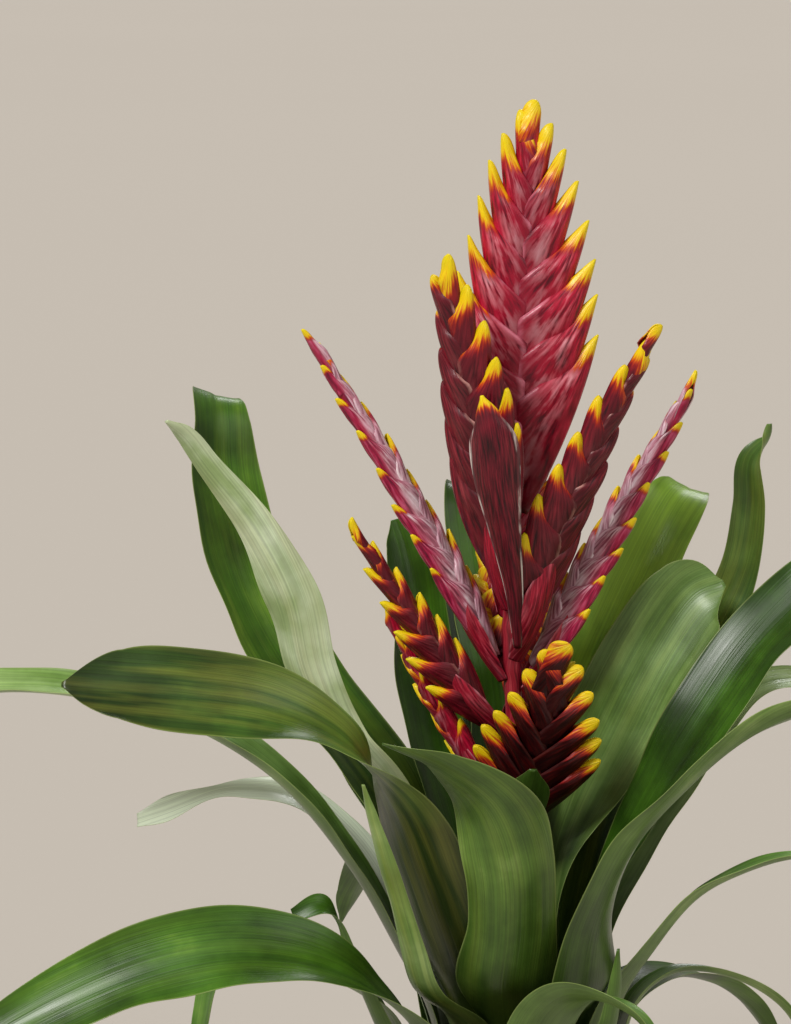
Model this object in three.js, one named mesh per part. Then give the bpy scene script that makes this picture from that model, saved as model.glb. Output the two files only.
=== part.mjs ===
// A flowering bromeliad in a plain round pot: a rosette of strap leaves around a short crown, and a
// branched flower head whose spikes each carry two ranks of folded bracts.
// Millimetres, +Z up. The origin is the centre of the pot's flat underside.
import * as THREE from "three";

const { Vector3, BufferGeometry, Float32BufferAttribute } = THREE;

// Driving dimensions
const POT = { height: 115, rimRadius: 66, topRadius: 61, footRadius: 46, wall: 4.5, floor: 6, rimBand: 14 };
const SOIL_TOP = 105; // the potting mix stops below the rim, so that water stays in
const GAP = 0.3; // between separate pieces that touch
const LEAF_THICKNESS = 1; // at the midrib, thinning to nothing at both margins
const SHEATH_START = 9; // radius of the innermost leaf's sheath
const SHEATH_STEP = 1.45; // each leaf outward wraps the one before it
const STEM_RADIUS = 5;
const STEM_TOP = 358; // the bare stem ends where the top spike begins

const COLOURS = {
  leafGreen: 0x3f6b2c,
  leafGrey: 0x66794c,
  bractRed: 0x8e1530,
  bractDark: 0x4a0f1c,
  stemRed: 0x9c2030,
  pot: 0xd9d4ca,
  soil: 0x3a2a20,
};

const plant = new THREE.Group();

function addPiece(name, geometry, colour, roughness) {
  const material = new THREE.MeshStandardMaterial({ color: colour, roughness, metalness: 0 });
  const piece = new THREE.Mesh(geometry, material);
  piece.name = name;
  plant.add(piece);
}

const radians = (degrees) => (degrees * Math.PI) / 180;

const smoothCurve = (points) => new THREE.CatmullRomCurve3(points, false, "catmullrom");

function indexedGeometry(points, triangles) {
  const geometry = new BufferGeometry();
  geometry.setAttribute("position", new Float32BufferAttribute(points.flatMap((p) => p.toArray()), 3));
  geometry.setIndex(triangles.flat());
  return geometry;
}

// Triangles that close a tube of rings, each ring holding the same number of points. The sides from
// mirroredFrom on split their quads along the other diagonal, so that the two faces of a thin blade
// stay parallel where it twists.
function stitchRings(ringCount, ringSize, mirroredFrom = ringSize) {
  const triangles = [];
  for (let ring = 0; ring + 1 < ringCount; ring++) {
    for (let i = 0; i < ringSize; i++) {
      const a = ring * ringSize + i;
      const b = ring * ringSize + ((i + 1) % ringSize);
      const c = a + ringSize;
      const d = b + ringSize;
      if (i < mirroredFrom) triangles.push([a, b, d], [a, d, c]);
      else triangles.push([a, b, c], [b, d, c]);
    }
  }
  return triangles;
}

// ---------------------------------------------------------------- pot, potting mix and stem

function turned(profile, segments) {
  const outline = profile.map(([r, z]) => new THREE.Vector2(r, z));
  return new THREE.LatheGeometry(outline, segments).rotateX(Math.PI / 2);
}

function potGeometry() {
  const { height, rimRadius, topRadius, footRadius, wall, floor, rimBand } = POT;
  const edge = 1.5; // the small rounding of the foot and the rim
  return turned(
    [
      [0, 0],
      [footRadius - edge, 0],
      [footRadius, edge],
      [topRadius, height - rimBand],
      [rimRadius - edge, height - rimBand + edge],
      [rimRadius, height - edge],
      [rimRadius - edge, height],
      [topRadius - wall + edge, height],
      [topRadius - wall, height - edge],
      [footRadius - wall, floor],
      [0, floor],
    ],
    44,
  );
}

// The radius of the pot's inner wall at a height.
function innerRadius(z) {
  const { height, topRadius, footRadius, wall, floor } = POT;
  const bottom = footRadius - wall;
  return bottom + ((topRadius - wall - bottom) * (z - floor)) / (height - 1.5 - floor);
}

function soilGeometry() {
  const bottom = POT.floor + GAP;
  const edgeTop = SOIL_TOP - 3; // the mix is a little lower against the wall
  return turned(
    [
      [0, bottom],
      [innerRadius(bottom) - 1, bottom],
      [innerRadius(edgeTop) - 1, edgeTop],
      [innerRadius(edgeTop) - 12, SOIL_TOP],
      [0, SOIL_TOP],
    ],
    40,
  );
}

// The stem, a tapered rod that leans a little as it rises.
const STEM_POINTS = [[2, 0, SOIL_TOP + GAP], [4, 0, 180], [4, 0, 244], [0, 0, 314], [1, 2, STEM_TOP]];
const STEM_PATH = smoothCurve(STEM_POINTS.map((p) => new Vector3(...p)));

function stemGeometry() {
  const rings = 9;
  const sides = 10;
  const points = [];
  for (let ring = 0; ring < rings; ring++) {
    const t = ring / (rings - 1);
    for (let i = 0; i < sides; i++) {
      const angle = (2 * Math.PI * i) / sides;
      const radius = STEM_RADIUS * (1 - 0.4 * t);
      const offset = new Vector3(radius * Math.cos(angle), radius * Math.sin(angle), 0);
      points.push(STEM_PATH.getPoint(t).add(offset));
    }
  }
  const bottom = points.length;
  points.push(STEM_PATH.getPoint(0), STEM_PATH.getPoint(1));
  const triangles = stitchRings(rings, sides);
  for (let i = 0; i < sides; i++) {
    const j = (i + 1) % sides;
    const top = (rings - 1) * sides;
    triangles.push([bottom, j, i], [bottom + 1, top + i, top + j]);
  }
  return indexedGeometry(points, triangles);
}

// ---------------------------------------------------------------- leaves

// One leaf is [name, azimuth, colour, stations]. Its sheath rises from the potting mix at that azimuth;
// then its midrib runs through the stations, each [x, y, z, width, roll, cup]. Roll, in degrees, turns
// the blade about its midrib away from the way that it would lie without a twist. Cup may be left out.
// The list runs from the innermost leaf to the outermost.
const LEAVES = [
  ["leaf_back_upright", 98, "leafGreen", [
    [-3, 26, 215, 32, 0], [-3, 50, 280, 30, 0], [-11, 66, 322, 28, 0], [-15, 76, 351, 25, 0],
    [-17, 88, 368, 21, 0], [-17, 106, 366, 14, 0], [-16, 122, 352, 2, 0],
  ]],
  ["leaf_back_left_inner", 128, "leafGreen", [
    [-12, 25, 190, 30, 0], [-23, 42, 229, 34, 0], [-33, 55, 262, 34, 0], [-38, 65, 296, 32, 8],
    [-41, 72, 326, 27, 12], [-45, 77, 345, 20, 14], [-49, 81, 356, 5, 14],
  ]],
  ["leaf_back_left_slim", 110, "leafGreen", [
    [-11, 35, 192, 24, 0], [-13, 63, 239, 28, 0], [-18, 78, 276, 28, 0], [-22, 90, 310, 26, 0],
    [-25, 100, 334, 20, 0], [-26, 114, 338, 14, 0], [-26, 130, 328, 2, 0],
  ]],
  ["leaf_left_tall", 148, "leafGreen", [
    [-34, 22, 192, 34, 5], [-54, 38, 244, 42, 10], [-88, 58, 284, 42, 20], [-113, 72, 326, 40, 25],
    [-125, 80, 372, 36, 28], [-127, 87, 399, 29, 28, 24], [-129, 99, 409, 22, 25, 14], [-133, 116, 401, 3, 20, 10],
  ]],
  ["leaf_right_grey", 8, "leafGrey", [
    [20, 4, 210, 36, -10], [29, 8, 242, 40, -35], [45, 8, 277, 46, -52], [61, 10, 309, 44, -58],
    [77, 12, 333, 38, -60], [91, 13, 340, 3, -60],
  ]],
  ["leaf_right_back_broad", 55, "leafGreen", [
    [14, 31, 220, 30, 0], [27, 53, 264, 37, -8], [43, 68, 300, 40, -16], [60, 84, 333, 38, -20],
    [74, 96, 358, 30, -22, 24], [82, 108, 365, 22, -20, 16], [87, 122, 362, 3, -20, 10],
  ]],
  ["leaf_left_twisted", 200, "leafGrey", [
    [-50, -18, 252, 32, -10], [-72, -26, 282, 27, -25], [-85, -33, 312, 25, -45],
    [-92, -38, 344, 24, -60], [-107, -40, 374, 17, -62], [-125, -41, 398, 12, -55],
    [-134, -43, 411, 10, -40], [-142, -46, 418, 2, -30],
  ]],
  ["leaf_right_tall_curled", 24, "leafGrey", [
    [34, 18, 208, 28, -10], [46, 23, 249, 31, -30], [65, 29, 283, 28, -40], [86, 32, 313, 22, -45],
    [100, 35, 343, 18, -45], [104, 36, 369, 16, -40], [104, 34, 388, 15, -20], [110, 31, 399, 11, 40],
    [111, 30, 406, 3, 80],
  ]],
  ["leaf_front_left_broad", 238, "leafGreen", [
    [-24, -42, 190, 40, 0], [-37, -57, 231, 42, 0], [-49, -68, 264, 38, 15], [-70, -76, 292, 30, 60],
    [-99, -80, 307, 35, 92], [-131, -84, 313, 38, 98], [-159, -87, 316, 32, 96],
    [-182, -88, 318, 2, 95],
  ]],
  ["leaf_front_folded", 268, "leafGreen", [
    [-3, -54, 182, 44, 0], [-1, -66, 211, 38, 0], [-3, -79, 241, 39, 0], [-12, -90, 268, 41, 20],
    [-31, -99, 286, 28, 40], [-54, -106, 298, 2, 50],
  ]],
  ["leaf_right_glossy", 348, "leafGreen", [
    [38, -16, 208, 31, -10], [59, -24, 252, 37, -30], [80, -23, 288, 38, -45], [104, -16, 321, 36, -50],
    [132, -16, 349, 31, -50], [157, -16, 367, 22, -50], [180, -16, 378, 3, -50],
  ]],
  ["leaf_young_pointed", 236, "leafGrey", [
    [-36, -57, 180, 16, 0], [-43, -68, 204, 13, 0], [-51, -76, 235, 10, 0], [-58, -81, 260, 6, 0],
    [-62, -84, 276, 1.5, 0],
  ]],
  ["leaf_left_long_arching", 181, "leafGreen", [
    [-48, 0, 183, 36, 0], [-66, 6, 214, 34, 0, 38], [-91, 12, 246, 32, 5, 45],
    [-116, 16, 266, 30, 8, 50], [-141, 20, 278, 29, 10, 50], [-170, 24, 286, 28, 14, 44],
    [-200, 28, 291, 26, 22, 40], [-233, 30, 290, 21, 30, 35], [-259, 31, 284, 2, 30, 35],
  ]],
  ["leaf_left_curled_tip", 158, "leafGrey", [
    [-58, 36, 205, 30, 0], [-80, 48, 228, 24, 10], [-97, 54, 237, 19, 20], [-115, 60, 238, 13, 30],
    [-130, 64, 235, 9, 40], [-149, 67, 227, 16, 40], [-164, 70, 221, 8, 40],
  ]],
  ["leaf_right_front_broad", 315, "leafGreen", [
    [32, -49, 179, 40, 0], [36, -54, 211, 38, -15], [49, -56, 243, 36, -25], [72, -57, 270, 32, -30],
    [93, -60, 289, 25, -20], [115, -63, 301, 18, -5], [139, -65, 305, 11, 0], [158, -66, 301, 2, 0],
  ]],
  ["leaf_right_low_tip", 38, "leafGreen", [
    [42, 36, 190, 32, 0], [72, 50, 240, 28, -10], [100, 60, 276, 23, -10], [124, 67, 286, 20, 0],
    [147, 71, 278, 14, 0], [161, 73, 262, 2, 0],
  ]],
  ["leaf_back_arching", 88, "leafGreen", [
    [2, 62, 205, 38, 0], [3, 86, 244, 38, 0], [4, 116, 276, 36, 0], [5, 150, 294, 32, 0],
    [6, 186, 292, 24, 0], [7, 212, 274, 3, 0],
  ]],
  ["leaf_back_right_arching", 66, "leafGreen", [
    [26, 62, 196, 36, 0], [38, 90, 226, 36, 0], [52, 122, 246, 34, 0], [66, 152, 250, 28, 0],
    [78, 180, 238, 18, 0], [85, 196, 218, 3, 0],
  ]],
  ["leaf_back_left_arching", 128, "leafGreen", [
    [-36, 60, 196, 34, 0], [-56, 80, 232, 34, 0], [-76, 104, 256, 32, 0], [-98, 126, 262, 28, 0],
    [-116, 142, 256, 19, 0], [-128, 152, 245, 3, 0],
  ]],
  ["leaf_right_slim_arching", 328, "leafGreen", [
    [44, -28, 166, 26, 0], [59, -33, 192, 25, -8], [76, -39, 216, 22, -12], [96, -43, 229, 18, -12],
    [118, -46, 236, 13, -10], [141, -48, 234, 2, -8],
  ]],
  ["leaf_left_low_broad", 230, "leafGreen", [
    [-36, -58, 160, 34, 10], [-54, -70, 183, 30, 25], [-74, -76, 198, 32, 50], [-97, -79, 205, 35, 68],
    [-123, -82, 206, 38, 75], [-152, -86, 200, 36, 78], [-184, -90, 187, 30, 75],
    [-213, -93, 171, 21, 70], [-236, -95, 153, 3, 65],
  ]],
  ["leaf_right_small_pointed", 306, "leafGrey", [
    [38, -50, 158, 12, 0], [42, -56, 180, 8, 0], [43, -58, 200, 1.5, 0],
  ]],
  ["leaf_left_small_curled", 224, "leafGrey", [
    [-50, -50, 155, 16, 0], [-60, -55, 177, 11, 0], [-68, -57, 197, 9, 0], [-73, -57, 212, 8, 30],
    [-80, -59, 219, 10, 70], [-91, -61, 215, 6, 80],
  ]],
  ["leaf_right_drooping", 4, "leafGreen", [
    [54, 5, 156, 22, 0], [68, 10, 168, 19, 0], [84, 14, 169, 17, 0], [103, 17, 163, 15, 0],
    [119, 19, 152, 13, 0], [129, 20, 137, 9, 0], [135, 20, 120, 2, 0],
  ]],
  ["leaf_left_drooping", 196, "leafGreen", [
    [-54, -17, 160, 24, 0], [-80, -24, 180, 22, 10], [-106, -29, 189, 20, 15], [-123, -33, 183, 18, 15],
    [-129, -36, 163, 16, 15], [-131, -38, 139, 10, 15], [-131, -39, 122, 2, 15],
  ]],
  ["leaf_back_low_left", 112, "leafGreen", [
    [-24, 66, 158, 34, 0], [-36, 96, 182, 33, 0], [-48, 126, 190, 30, 0], [-60, 156, 180, 24, 0],
    [-70, 180, 158, 14, 0], [-75, 192, 140, 2, 0],
  ]],
  ["leaf_front_right_low", 282, "leafGreen", [
    [8, -58, 150, 32, 0], [14, -70, 173, 31, 0], [24, -82, 186, 29, 0], [37, -93, 188, 25, 0],
    [49, -102, 183, 19, 0], [56, -108, 172, 12, 0], [59, -111, 156, 2, 0],
  ]],
  ["leaf_back_low_right", 46, "leafGreen", [
    [50, 52, 144, 32, 0], [72, 75, 148, 30, 0], [96, 100, 138, 26, 0], [114, 120, 122, 20, 0],
    [126, 133, 104, 12, 0], [132, 140, 88, 2, 0],
  ]],
];

const BLADE_CUP = 30; // degrees: half of the arc that a blade's section turns through

// The small leaf on the stem, below the lowest spike: its azimuth, and stations as above.
const STEM_LEAF = [278, [
  [5.5, -7.5, 235, 12, 0, 50], [6, -20, 245, 17, 0, 40], [6, -34, 259, 20, 0], [8, -42, 272, 3, 0],
]];

// The sheath's stations below a leaf's own, wrapped on the radius of its place in the rosette.
// A leaf whose own stations begin high up has one more, which keeps it close to its neighbours.
function sheathStations(azimuth, radius, [, , bladeStart, bladeWidth]) {
  const width = Math.min(10 + 0.7 * radius, 4 + 1.1 * bladeWidth);
  const cosine = Math.cos(radians(azimuth));
  const sine = Math.sin(radians(azimuth));
  const station = (r, z) => [r * cosine, r * sine, z, width, 0, THREE.MathUtils.radToDeg(width / 2 / r)];
  const stations = [station(radius, SOIL_TOP + GAP), station(radius * 1.08 + 1, SOIL_TOP + 24)];
  if (bladeStart > 170) stations.push(station(radius * 1.25 + 2, SOIL_TOP + 52));
  return stations;
}

// The leaf's surface as rings of eight points. At the angle f across an arc section of radius q, a point
// is the midrib plus q sin f along the side and q (1 - cos f) towards the upper face.
function leafGeometry(azimuth, stations) {
  const midrib = smoothCurve(stations.map(([x, y, z]) => new Vector3(x, y, z)));
  const form = smoothCurve(
    stations.map(([, , , width, roll, cup = BLADE_CUP]) => new Vector3(width, radians(roll), radians(cup))),
  );
  const perSegment = 2;
  const substeps = 6; // finer steps that carry the blade's side along the midrib without a twist
  const steps = (stations.length - 1) * perSegment;
  const across = [[-1, 0], [-0.5, 1], [0, 1], [0.5, 1], [1, 0], [0.5, -1], [0, -1], [-0.5, -1]];
  let side = new Vector3(Math.sin(radians(azimuth)), -Math.cos(radians(azimuth)), 0);
  const points = [];
  for (let i = 0; i <= steps * substeps; i++) {
    const t = i / (steps * substeps);
    const tangent = midrib.getTangent(t);
    side = side.clone().addScaledVector(tangent, -side.dot(tangent)).normalize();
    if (i % substeps) continue;
    const [width, roll, cup] = form.getPoint(t).toArray();
    const rolled = side.clone().applyAxisAngle(tangent, -roll);
    const upper = rolled.clone().cross(tangent);
    const arc = Math.max(width, 1) / 2 / cup;
    for (const [u, face] of across) {
      const f = u * cup;
      const normal = upper.clone().multiplyScalar(Math.cos(f)).addScaledVector(rolled, -Math.sin(f));
      points.push(
        midrib
          .getPoint(t)
          .addScaledVector(rolled, arc * Math.sin(f))
          .addScaledVector(upper, arc * (1 - Math.cos(f)))
          .addScaledVector(normal, (face * LEAF_THICKNESS * (1 - u * u)) / 2),
      );
    }
  }
  const cap = [[0, 1, 7], [1, 2, 6], [1, 6, 7], [2, 3, 5], [2, 5, 6], [3, 4, 5]];
  const last = steps * across.length;
  return indexedGeometry(points, [
    ...stitchRings(steps + 1, across.length, across.length / 2),
    ...cap.map(([a, b, c]) => [a, c, b]),
    ...cap.map(([a, b, c]) => [last + a, last + b, last + c]),
  ]);
}

// ---------------------------------------------------------------- flower spikes

// A spike's frame: its axis is a curve from root to tip, pushed aside by bow at its middle, and
// face is the direction that its flat side looks. Gives a point from lateral, along and depth.
function spikeFrame({ root, tip, bow = [0, 0, 0], face }) {
  const start = new Vector3(...root);
  const end = new Vector3(...tip);
  const middle = start.clone().lerp(end, 0.5).add(new Vector3(...bow));
  const axis = new THREE.QuadraticBezierCurve3(start, middle, end);
  return (lateral, along, depth) => {
    const tangent = axis.getTangent(Math.min(1, Math.max(0, along)));
    const look = new Vector3(...face);
    const front = look.clone().addScaledVector(tangent, -tangent.dot(look)).normalize();
    const right = tangent.clone().cross(front);
    return axis.getPoint(along).addScaledVector(right, lateral).addScaledVector(front, depth);
  };
}

// The keel of bract k, an arc from its foot on the axis out to its point, as [lateral, along].
function bractKeel(spike, k, t) {
  const { count, halfWidth, lowestPoint, feetEnd = 0.8, tipWidth = halfWidth * 0.12, crowding = 1 } = spike;
  const q = k / (count - 1);
  const foot = feetEnd * q;
  const point = 1 - (1 - lowestPoint) * (1 - q) ** crowding;
  const reach = (halfWidth - tipWidth) * (1 - q ** 1.6) + tipWidth;
  const lateral = 2 * t * (1 - t) * reach * 0.75 + t * t * reach;
  const along = (1 - t) ** 2 * foot + 2 * t * (1 - t) * (foot + 0.42 * (point - foot)) + t * t * point;
  return [lateral, along];
}

// A whole spike as one solid, a flat body whose two edges run from bract point to notch to bract point.
function spikeGeometry(spike) {
  const place = spikeFrame(spike);
  const { count, depth } = spike;
  const edge = (rank) => {
    const outline = [[1.5, 0], bractKeel(spike, rank, 0.4), bractKeel(spike, rank, 0.75)];
    for (let k = rank; k < count; k += 2) {
      outline.push(bractKeel(spike, k, 1));
      if (k + 2 < count) outline.push(bractKeel(spike, k + 2, 0.66));
    }
    return outline;
  };
  const edges = [edge(0), edge(1)];
  const rows = edges[0].length;
  const points = [];
  for (let i = 0; i < rows; i++) {
    const along = (edges[0][i][1] + edges[1][i][1]) / 2;
    const half = depth * Math.sin(Math.PI * (0.2 + 0.68 * Math.min(along, 1)));
    points.push(
      place(-edges[0][i][0], edges[0][i][1], 0),
      place(0, along, half),
      place(edges[1][i][0], edges[1][i][1], 0),
      place(0, along, -half),
    );
  }
  const last = (rows - 1) * 4;
  return indexedGeometry(points, [
    ...stitchRings(rows, 4),
    [0, 3, 1],
    [1, 3, 2],
    [last, last + 1, last + 3],
    [last + 1, last + 2, last + 3],
  ]);
}

// One bract of the top spike: a tile between its own keel and the keel of the next bract on its side.
function bractGeometry(spike, k) {
  const place = spikeFrame(spike);
  const sign = k % 2 ? 1 : -1;
  const inner = GAP / 2; // the two ranks meet along the axis
  const keel = (t) => {
    const [lateral, along] = bractKeel(spike, k, t);
    return [Math.max(lateral, inner), along, 1.2 + 2 * (1 - t)];
  };
  const upper = (t) => {
    const half = spike.depth * (1 - 0.6 * t);
    if (k + 2 >= spike.count) return [inner, 0.82 + 0.24 * t, half]; // the last two close on the axis
    const [lateral, along] = bractKeel(spike, k + 2, t);
    return [lateral + inner, along - 0.004, half];
  };
  const outline = [keel(0), keel(0.3), keel(0.62), keel(1), upper(0.62), upper(0.3), upper(0)];
  const size = outline.length;
  const points = [1, -1].flatMap((face) =>
    outline.map(([lateral, along, half]) => place(sign * lateral, along, face * half)),
  );
  const drawn = outline.map(([lateral, along]) => new THREE.Vector2(lateral, along * 170));
  const flat = THREE.ShapeUtils.triangulateShape(drawn, []);
  const triangles = [
    ...flat,
    ...flat.map(([a, b, c]) => [size + a, size + c, size + b]),
    ...stitchRings(2, size).map(([a, b, c]) => [a, c, b]),
  ];
  return indexedGeometry(points, sign > 0 ? triangles : triangles.map(([a, b, c]) => [a, c, b]));
}

const TOP_SPIKE = {
  root: [1, 1, 362], tip: [8, 9, 545], bow: [-1, 0, 0], face: [0, -1, 0.05],
  count: 16, halfWidth: 34, lowestPoint: 0.42, depth: 5, tipWidth: 4, crowding: 1.25,
};

const SPIKES = {
  spike_upper_left: {
    root: [-3, -10, 344], tip: [-31, -28, 483], bow: [4, -8, 4], face: [-0.4, -0.9, 0.1],
    count: 12, halfWidth: 21, lowestPoint: 0.42, depth: 4.5, tipWidth: 7,
  },
  spike_front_bud: {
    root: [-5, -22, 345], tip: [-14, -37, 423], bow: [-3, -7, 0], face: [0.95, -0.3, 0],
    count: 4, halfWidth: 8, lowestPoint: 0.6, depth: 8,
  },
  spike_upper_right: {
    root: [5, -9, 322], tip: [61, -22, 455], bow: [-12, -8, 7], face: [0.5, -0.87, 0],
    count: 14, halfWidth: 18, lowestPoint: 0.3, depth: 4.5,
  },
  spike_far_right: {
    root: [10, 1, 305], tip: [79, 10, 431], bow: [0, 0, 0], face: [0.8, 0.6, -0.3],
    count: 16, halfWidth: 14, lowestPoint: 0.24, depth: 5,
  },
  spike_left: {
    root: [-8, 0, 310], tip: [-88, -5, 451], bow: [5, 0, 4], face: [-0.72, 0.66, -0.3],
    count: 16, halfWidth: 12, lowestPoint: 0.24, depth: 5,
  },
  spike_lower_left: {
    root: [-8, -5, 283], tip: [-68, -30, 375], bow: [-2, -2, -4], face: [0.25, -0.95, 0.2],
    count: 12, halfWidth: 13, lowestPoint: 0.3, depth: 4.5,
  },
  spike_lowest_left: {
    root: [-8, -2, 254], tip: [-53, -7, 334], bow: [-3, 0, -3], face: [-0.75, -0.6, 0],
    count: 10, halfWidth: 9, lowestPoint: 0.3, depth: 4.5,
  },
  spike_front_low: {
    root: [6, -10, 246], tip: [19, -40, 325], bow: [1, -7, -4], face: [0, -0.9, 0.3],
    count: 12, halfWidth: 30, lowestPoint: 0.34, depth: 5.5, tipWidth: 7,
  },
  spike_back_left: {
    root: [-4, 8, 312], tip: [-13, 32, 366], bow: [-1, 3, -3], face: [0.6, 0.8, 0],
    count: 8, halfWidth: 9, lowestPoint: 0.3, depth: 4,
  },
  spike_back_upper: {
    root: [1, 9, 335], tip: [10, 52, 442], bow: [1, 7, -5], face: [0.2, 0.95, 0.1],
    count: 12, halfWidth: 17, lowestPoint: 0.38, depth: 5,
  },
  spike_back_low: {
    root: [5, 9, 268], tip: [20, 56, 345], bow: [1, 8, -5], face: [0.1, 0.9, 0.4],
    count: 10, halfWidth: 17, lowestPoint: 0.34, depth: 5,
  },
};

// ---------------------------------------------------------------- assembly

addPiece("pot", potGeometry(), COLOURS.pot, 0.6);
addPiece("potting_mix", soilGeometry(), COLOURS.soil, 0.95);
addPiece("flower_stem", stemGeometry(), COLOURS.stemRed, 0.45);

LEAVES.forEach(([name, azimuth, colour, stations], order) => {
  const sheath = sheathStations(azimuth, SHEATH_START + SHEATH_STEP * order, stations[0]);
  addPiece(name, leafGeometry(azimuth, [...sheath, ...stations]), COLOURS[colour], 0.4);
});

addPiece("stem_leaf", leafGeometry(...STEM_LEAF), COLOURS.leafGreen, 0.4);

for (const [name, spike] of Object.entries(SPIKES)) {
  addPiece(name, spikeGeometry(spike), COLOURS.bractRed, 0.45);
}

for (let k = 0; k < TOP_SPIKE.count; k++) {
  const label = String(k + 1).padStart(2, "0");
  addPiece(`top_spike_bract_${label}`, bractGeometry(TOP_SPIKE, k), COLOURS.bractRed, 0.45);
}

export default plant;
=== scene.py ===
import math

import bpy
import numpy as np
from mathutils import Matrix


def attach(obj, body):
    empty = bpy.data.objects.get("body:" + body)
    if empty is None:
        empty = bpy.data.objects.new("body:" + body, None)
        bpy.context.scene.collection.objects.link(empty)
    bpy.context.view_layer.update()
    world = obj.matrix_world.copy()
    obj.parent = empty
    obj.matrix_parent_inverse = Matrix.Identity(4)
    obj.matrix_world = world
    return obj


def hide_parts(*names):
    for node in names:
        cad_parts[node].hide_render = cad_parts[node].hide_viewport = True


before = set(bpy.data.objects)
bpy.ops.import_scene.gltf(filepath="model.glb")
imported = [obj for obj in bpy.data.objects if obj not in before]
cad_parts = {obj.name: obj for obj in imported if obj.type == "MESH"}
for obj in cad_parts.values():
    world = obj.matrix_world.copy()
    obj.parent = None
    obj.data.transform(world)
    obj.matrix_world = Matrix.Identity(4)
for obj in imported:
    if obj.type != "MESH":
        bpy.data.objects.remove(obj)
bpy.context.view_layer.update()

MM = 0.001

POT = dict(
    height=115, rim_radius=66, top_radius=61, foot_radius=46, wall=4.5, floor=6, rim_band=14, rim_round=1.5,
)
SOIL_TOP = 105
GAP = 0.3
LEAF_THICKNESS = 1.0
BRACT_THICKNESS = 0.48
# a leaf's place in the rosette: the first one's distance from the middle, and how much each one adds
SHEATH_START = 9
SHEATH_STEP = 1.45
# a blade that starts above this height has a longer sheath
HIGH_BLADE = 170
BLADE_CUP = 30
STEM_POINTS = [[2, 0, SOIL_TOP + GAP], [4, 0, 180], [4, 0, 244], [0, 0, 314], [1, 2, 358]]
STEM_RADIUS = 5
STEM_NODES = (160, 205, 236, 256, 282, 306, 324, 345)
STALK_RADIUS = 2.4
FOOT_SHEATH_REACH = 40.0
# the ripeness of what never turns yellow
UNRIPE = -2.0


# ---------------------------------------------------------------- curves and meshes


def smooth_curve(points, t):
    """A uniform Catmull-Rom curve through the points at each t from 0 to 1. Each end has one more point,
    the mirror of its neighbour."""
    p = np.array(points, float)
    p = np.vstack([2 * p[0] - p[1], p, 2 * p[-1] - p[-2]])
    spans = len(points) - 1
    x = np.clip(t, 0, 1) * spans
    i = np.minimum(x.astype(int), spans - 1)
    w = (x - i)[:, None]
    a, b, c, d = p[i], p[i + 1], p[i + 2], p[i + 3]
    return 0.5 * (2 * b + (c - a) * w + (2 * a - 5 * b + 4 * c - d) * w**2 + (3 * b - a - 3 * c + d) * w**3)


def unit(v):
    """Each vector divided by its length."""
    return v / np.maximum(np.linalg.norm(v, axis=-1, keepdims=True), 1e-9)


def sheet_normals(middle):
    """The direction across the columns crossed with the direction along the rows, made unit length."""
    along = np.gradient(middle, axis=0)
    across = np.gradient(middle, axis=1)
    return unit(np.cross(across, along))


def ring_faces(rows, size):
    """Four-sided faces that join each ring of points to the next one."""
    i, j = np.meshgrid(np.arange(rows - 1), np.arange(size), indexing="ij")
    a, b = i * size + j, i * size + (j + 1) % size
    return np.stack([a, b, b + size, a + size], -1).reshape(-1, 4)


def end_fans(rows, size):
    """Three-sided faces that close the first ring and the last one, each on a point of its own. The two
    points come after the rings in the mesh."""
    j = np.arange(size)
    k = (j + 1) % size
    last = (rows - 1) * size
    middle = np.full(size, rows * size)
    return np.concatenate([np.stack([middle, k, j], -1), np.stack([middle + 1, last + j, last + k], -1)])


def ring_map(rows, size):
    """The bake map of the same faces: across by the place in the ring, up by the row."""
    i, j = np.meshgrid(np.arange(rows - 1), np.arange(size), indexing="ij")
    corners = [(j, i), (j + 1, i), (j + 1, i + 1), (j, i + 1)]
    return np.stack([np.stack([x / size, y / (rows - 1)], -1) for x, y in corners], -2).reshape(-1, 2)


def thin_shell(middle, half, marks, normals=None):
    """A closed sheet: its middle surface is pushed out by half its thickness along the normals, and by as
    much the other way. Each row of the sheet is one ring, out over the upper face and back under it, and
    caps close the first row and the last. The marks are values for the patterns, spread over both faces."""
    normals = sheet_normals(middle) if normals is None else normals
    rows, columns = middle.shape[:2]
    push = normals * half[..., None]
    rings = np.concatenate([middle + push, (middle - push)[:, ::-1]], axis=1)
    j = np.arange(columns - 1)
    under = 2 * columns - 1 - j
    last = (rows - 1) * 2 * columns
    caps = np.concatenate([np.stack([j, under, under - 1, j + 1], -1),
                           last + np.stack([j, j + 1, under - 1, under], -1)])
    spread = {}
    for k, v in marks.items():
        v = np.broadcast_to(v, (rows, columns) + v.shape[2:])
        spread[k] = np.concatenate([v, v[:, ::-1]], axis=1)
    spread["under"] = np.concatenate([np.zeros((rows, columns)), np.ones((rows, columns))], axis=1)
    return dict(
        points=rings.reshape(-1, 3),
        faces=np.concatenate([ring_faces(rows, 2 * columns), caps]),
        bake=np.concatenate([ring_map(rows, 2 * columns), np.zeros((4 * len(caps), 2))]),
        marks={k: v.reshape((-1,) + v.shape[2:]) for k, v in spread.items()},
    )


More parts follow.
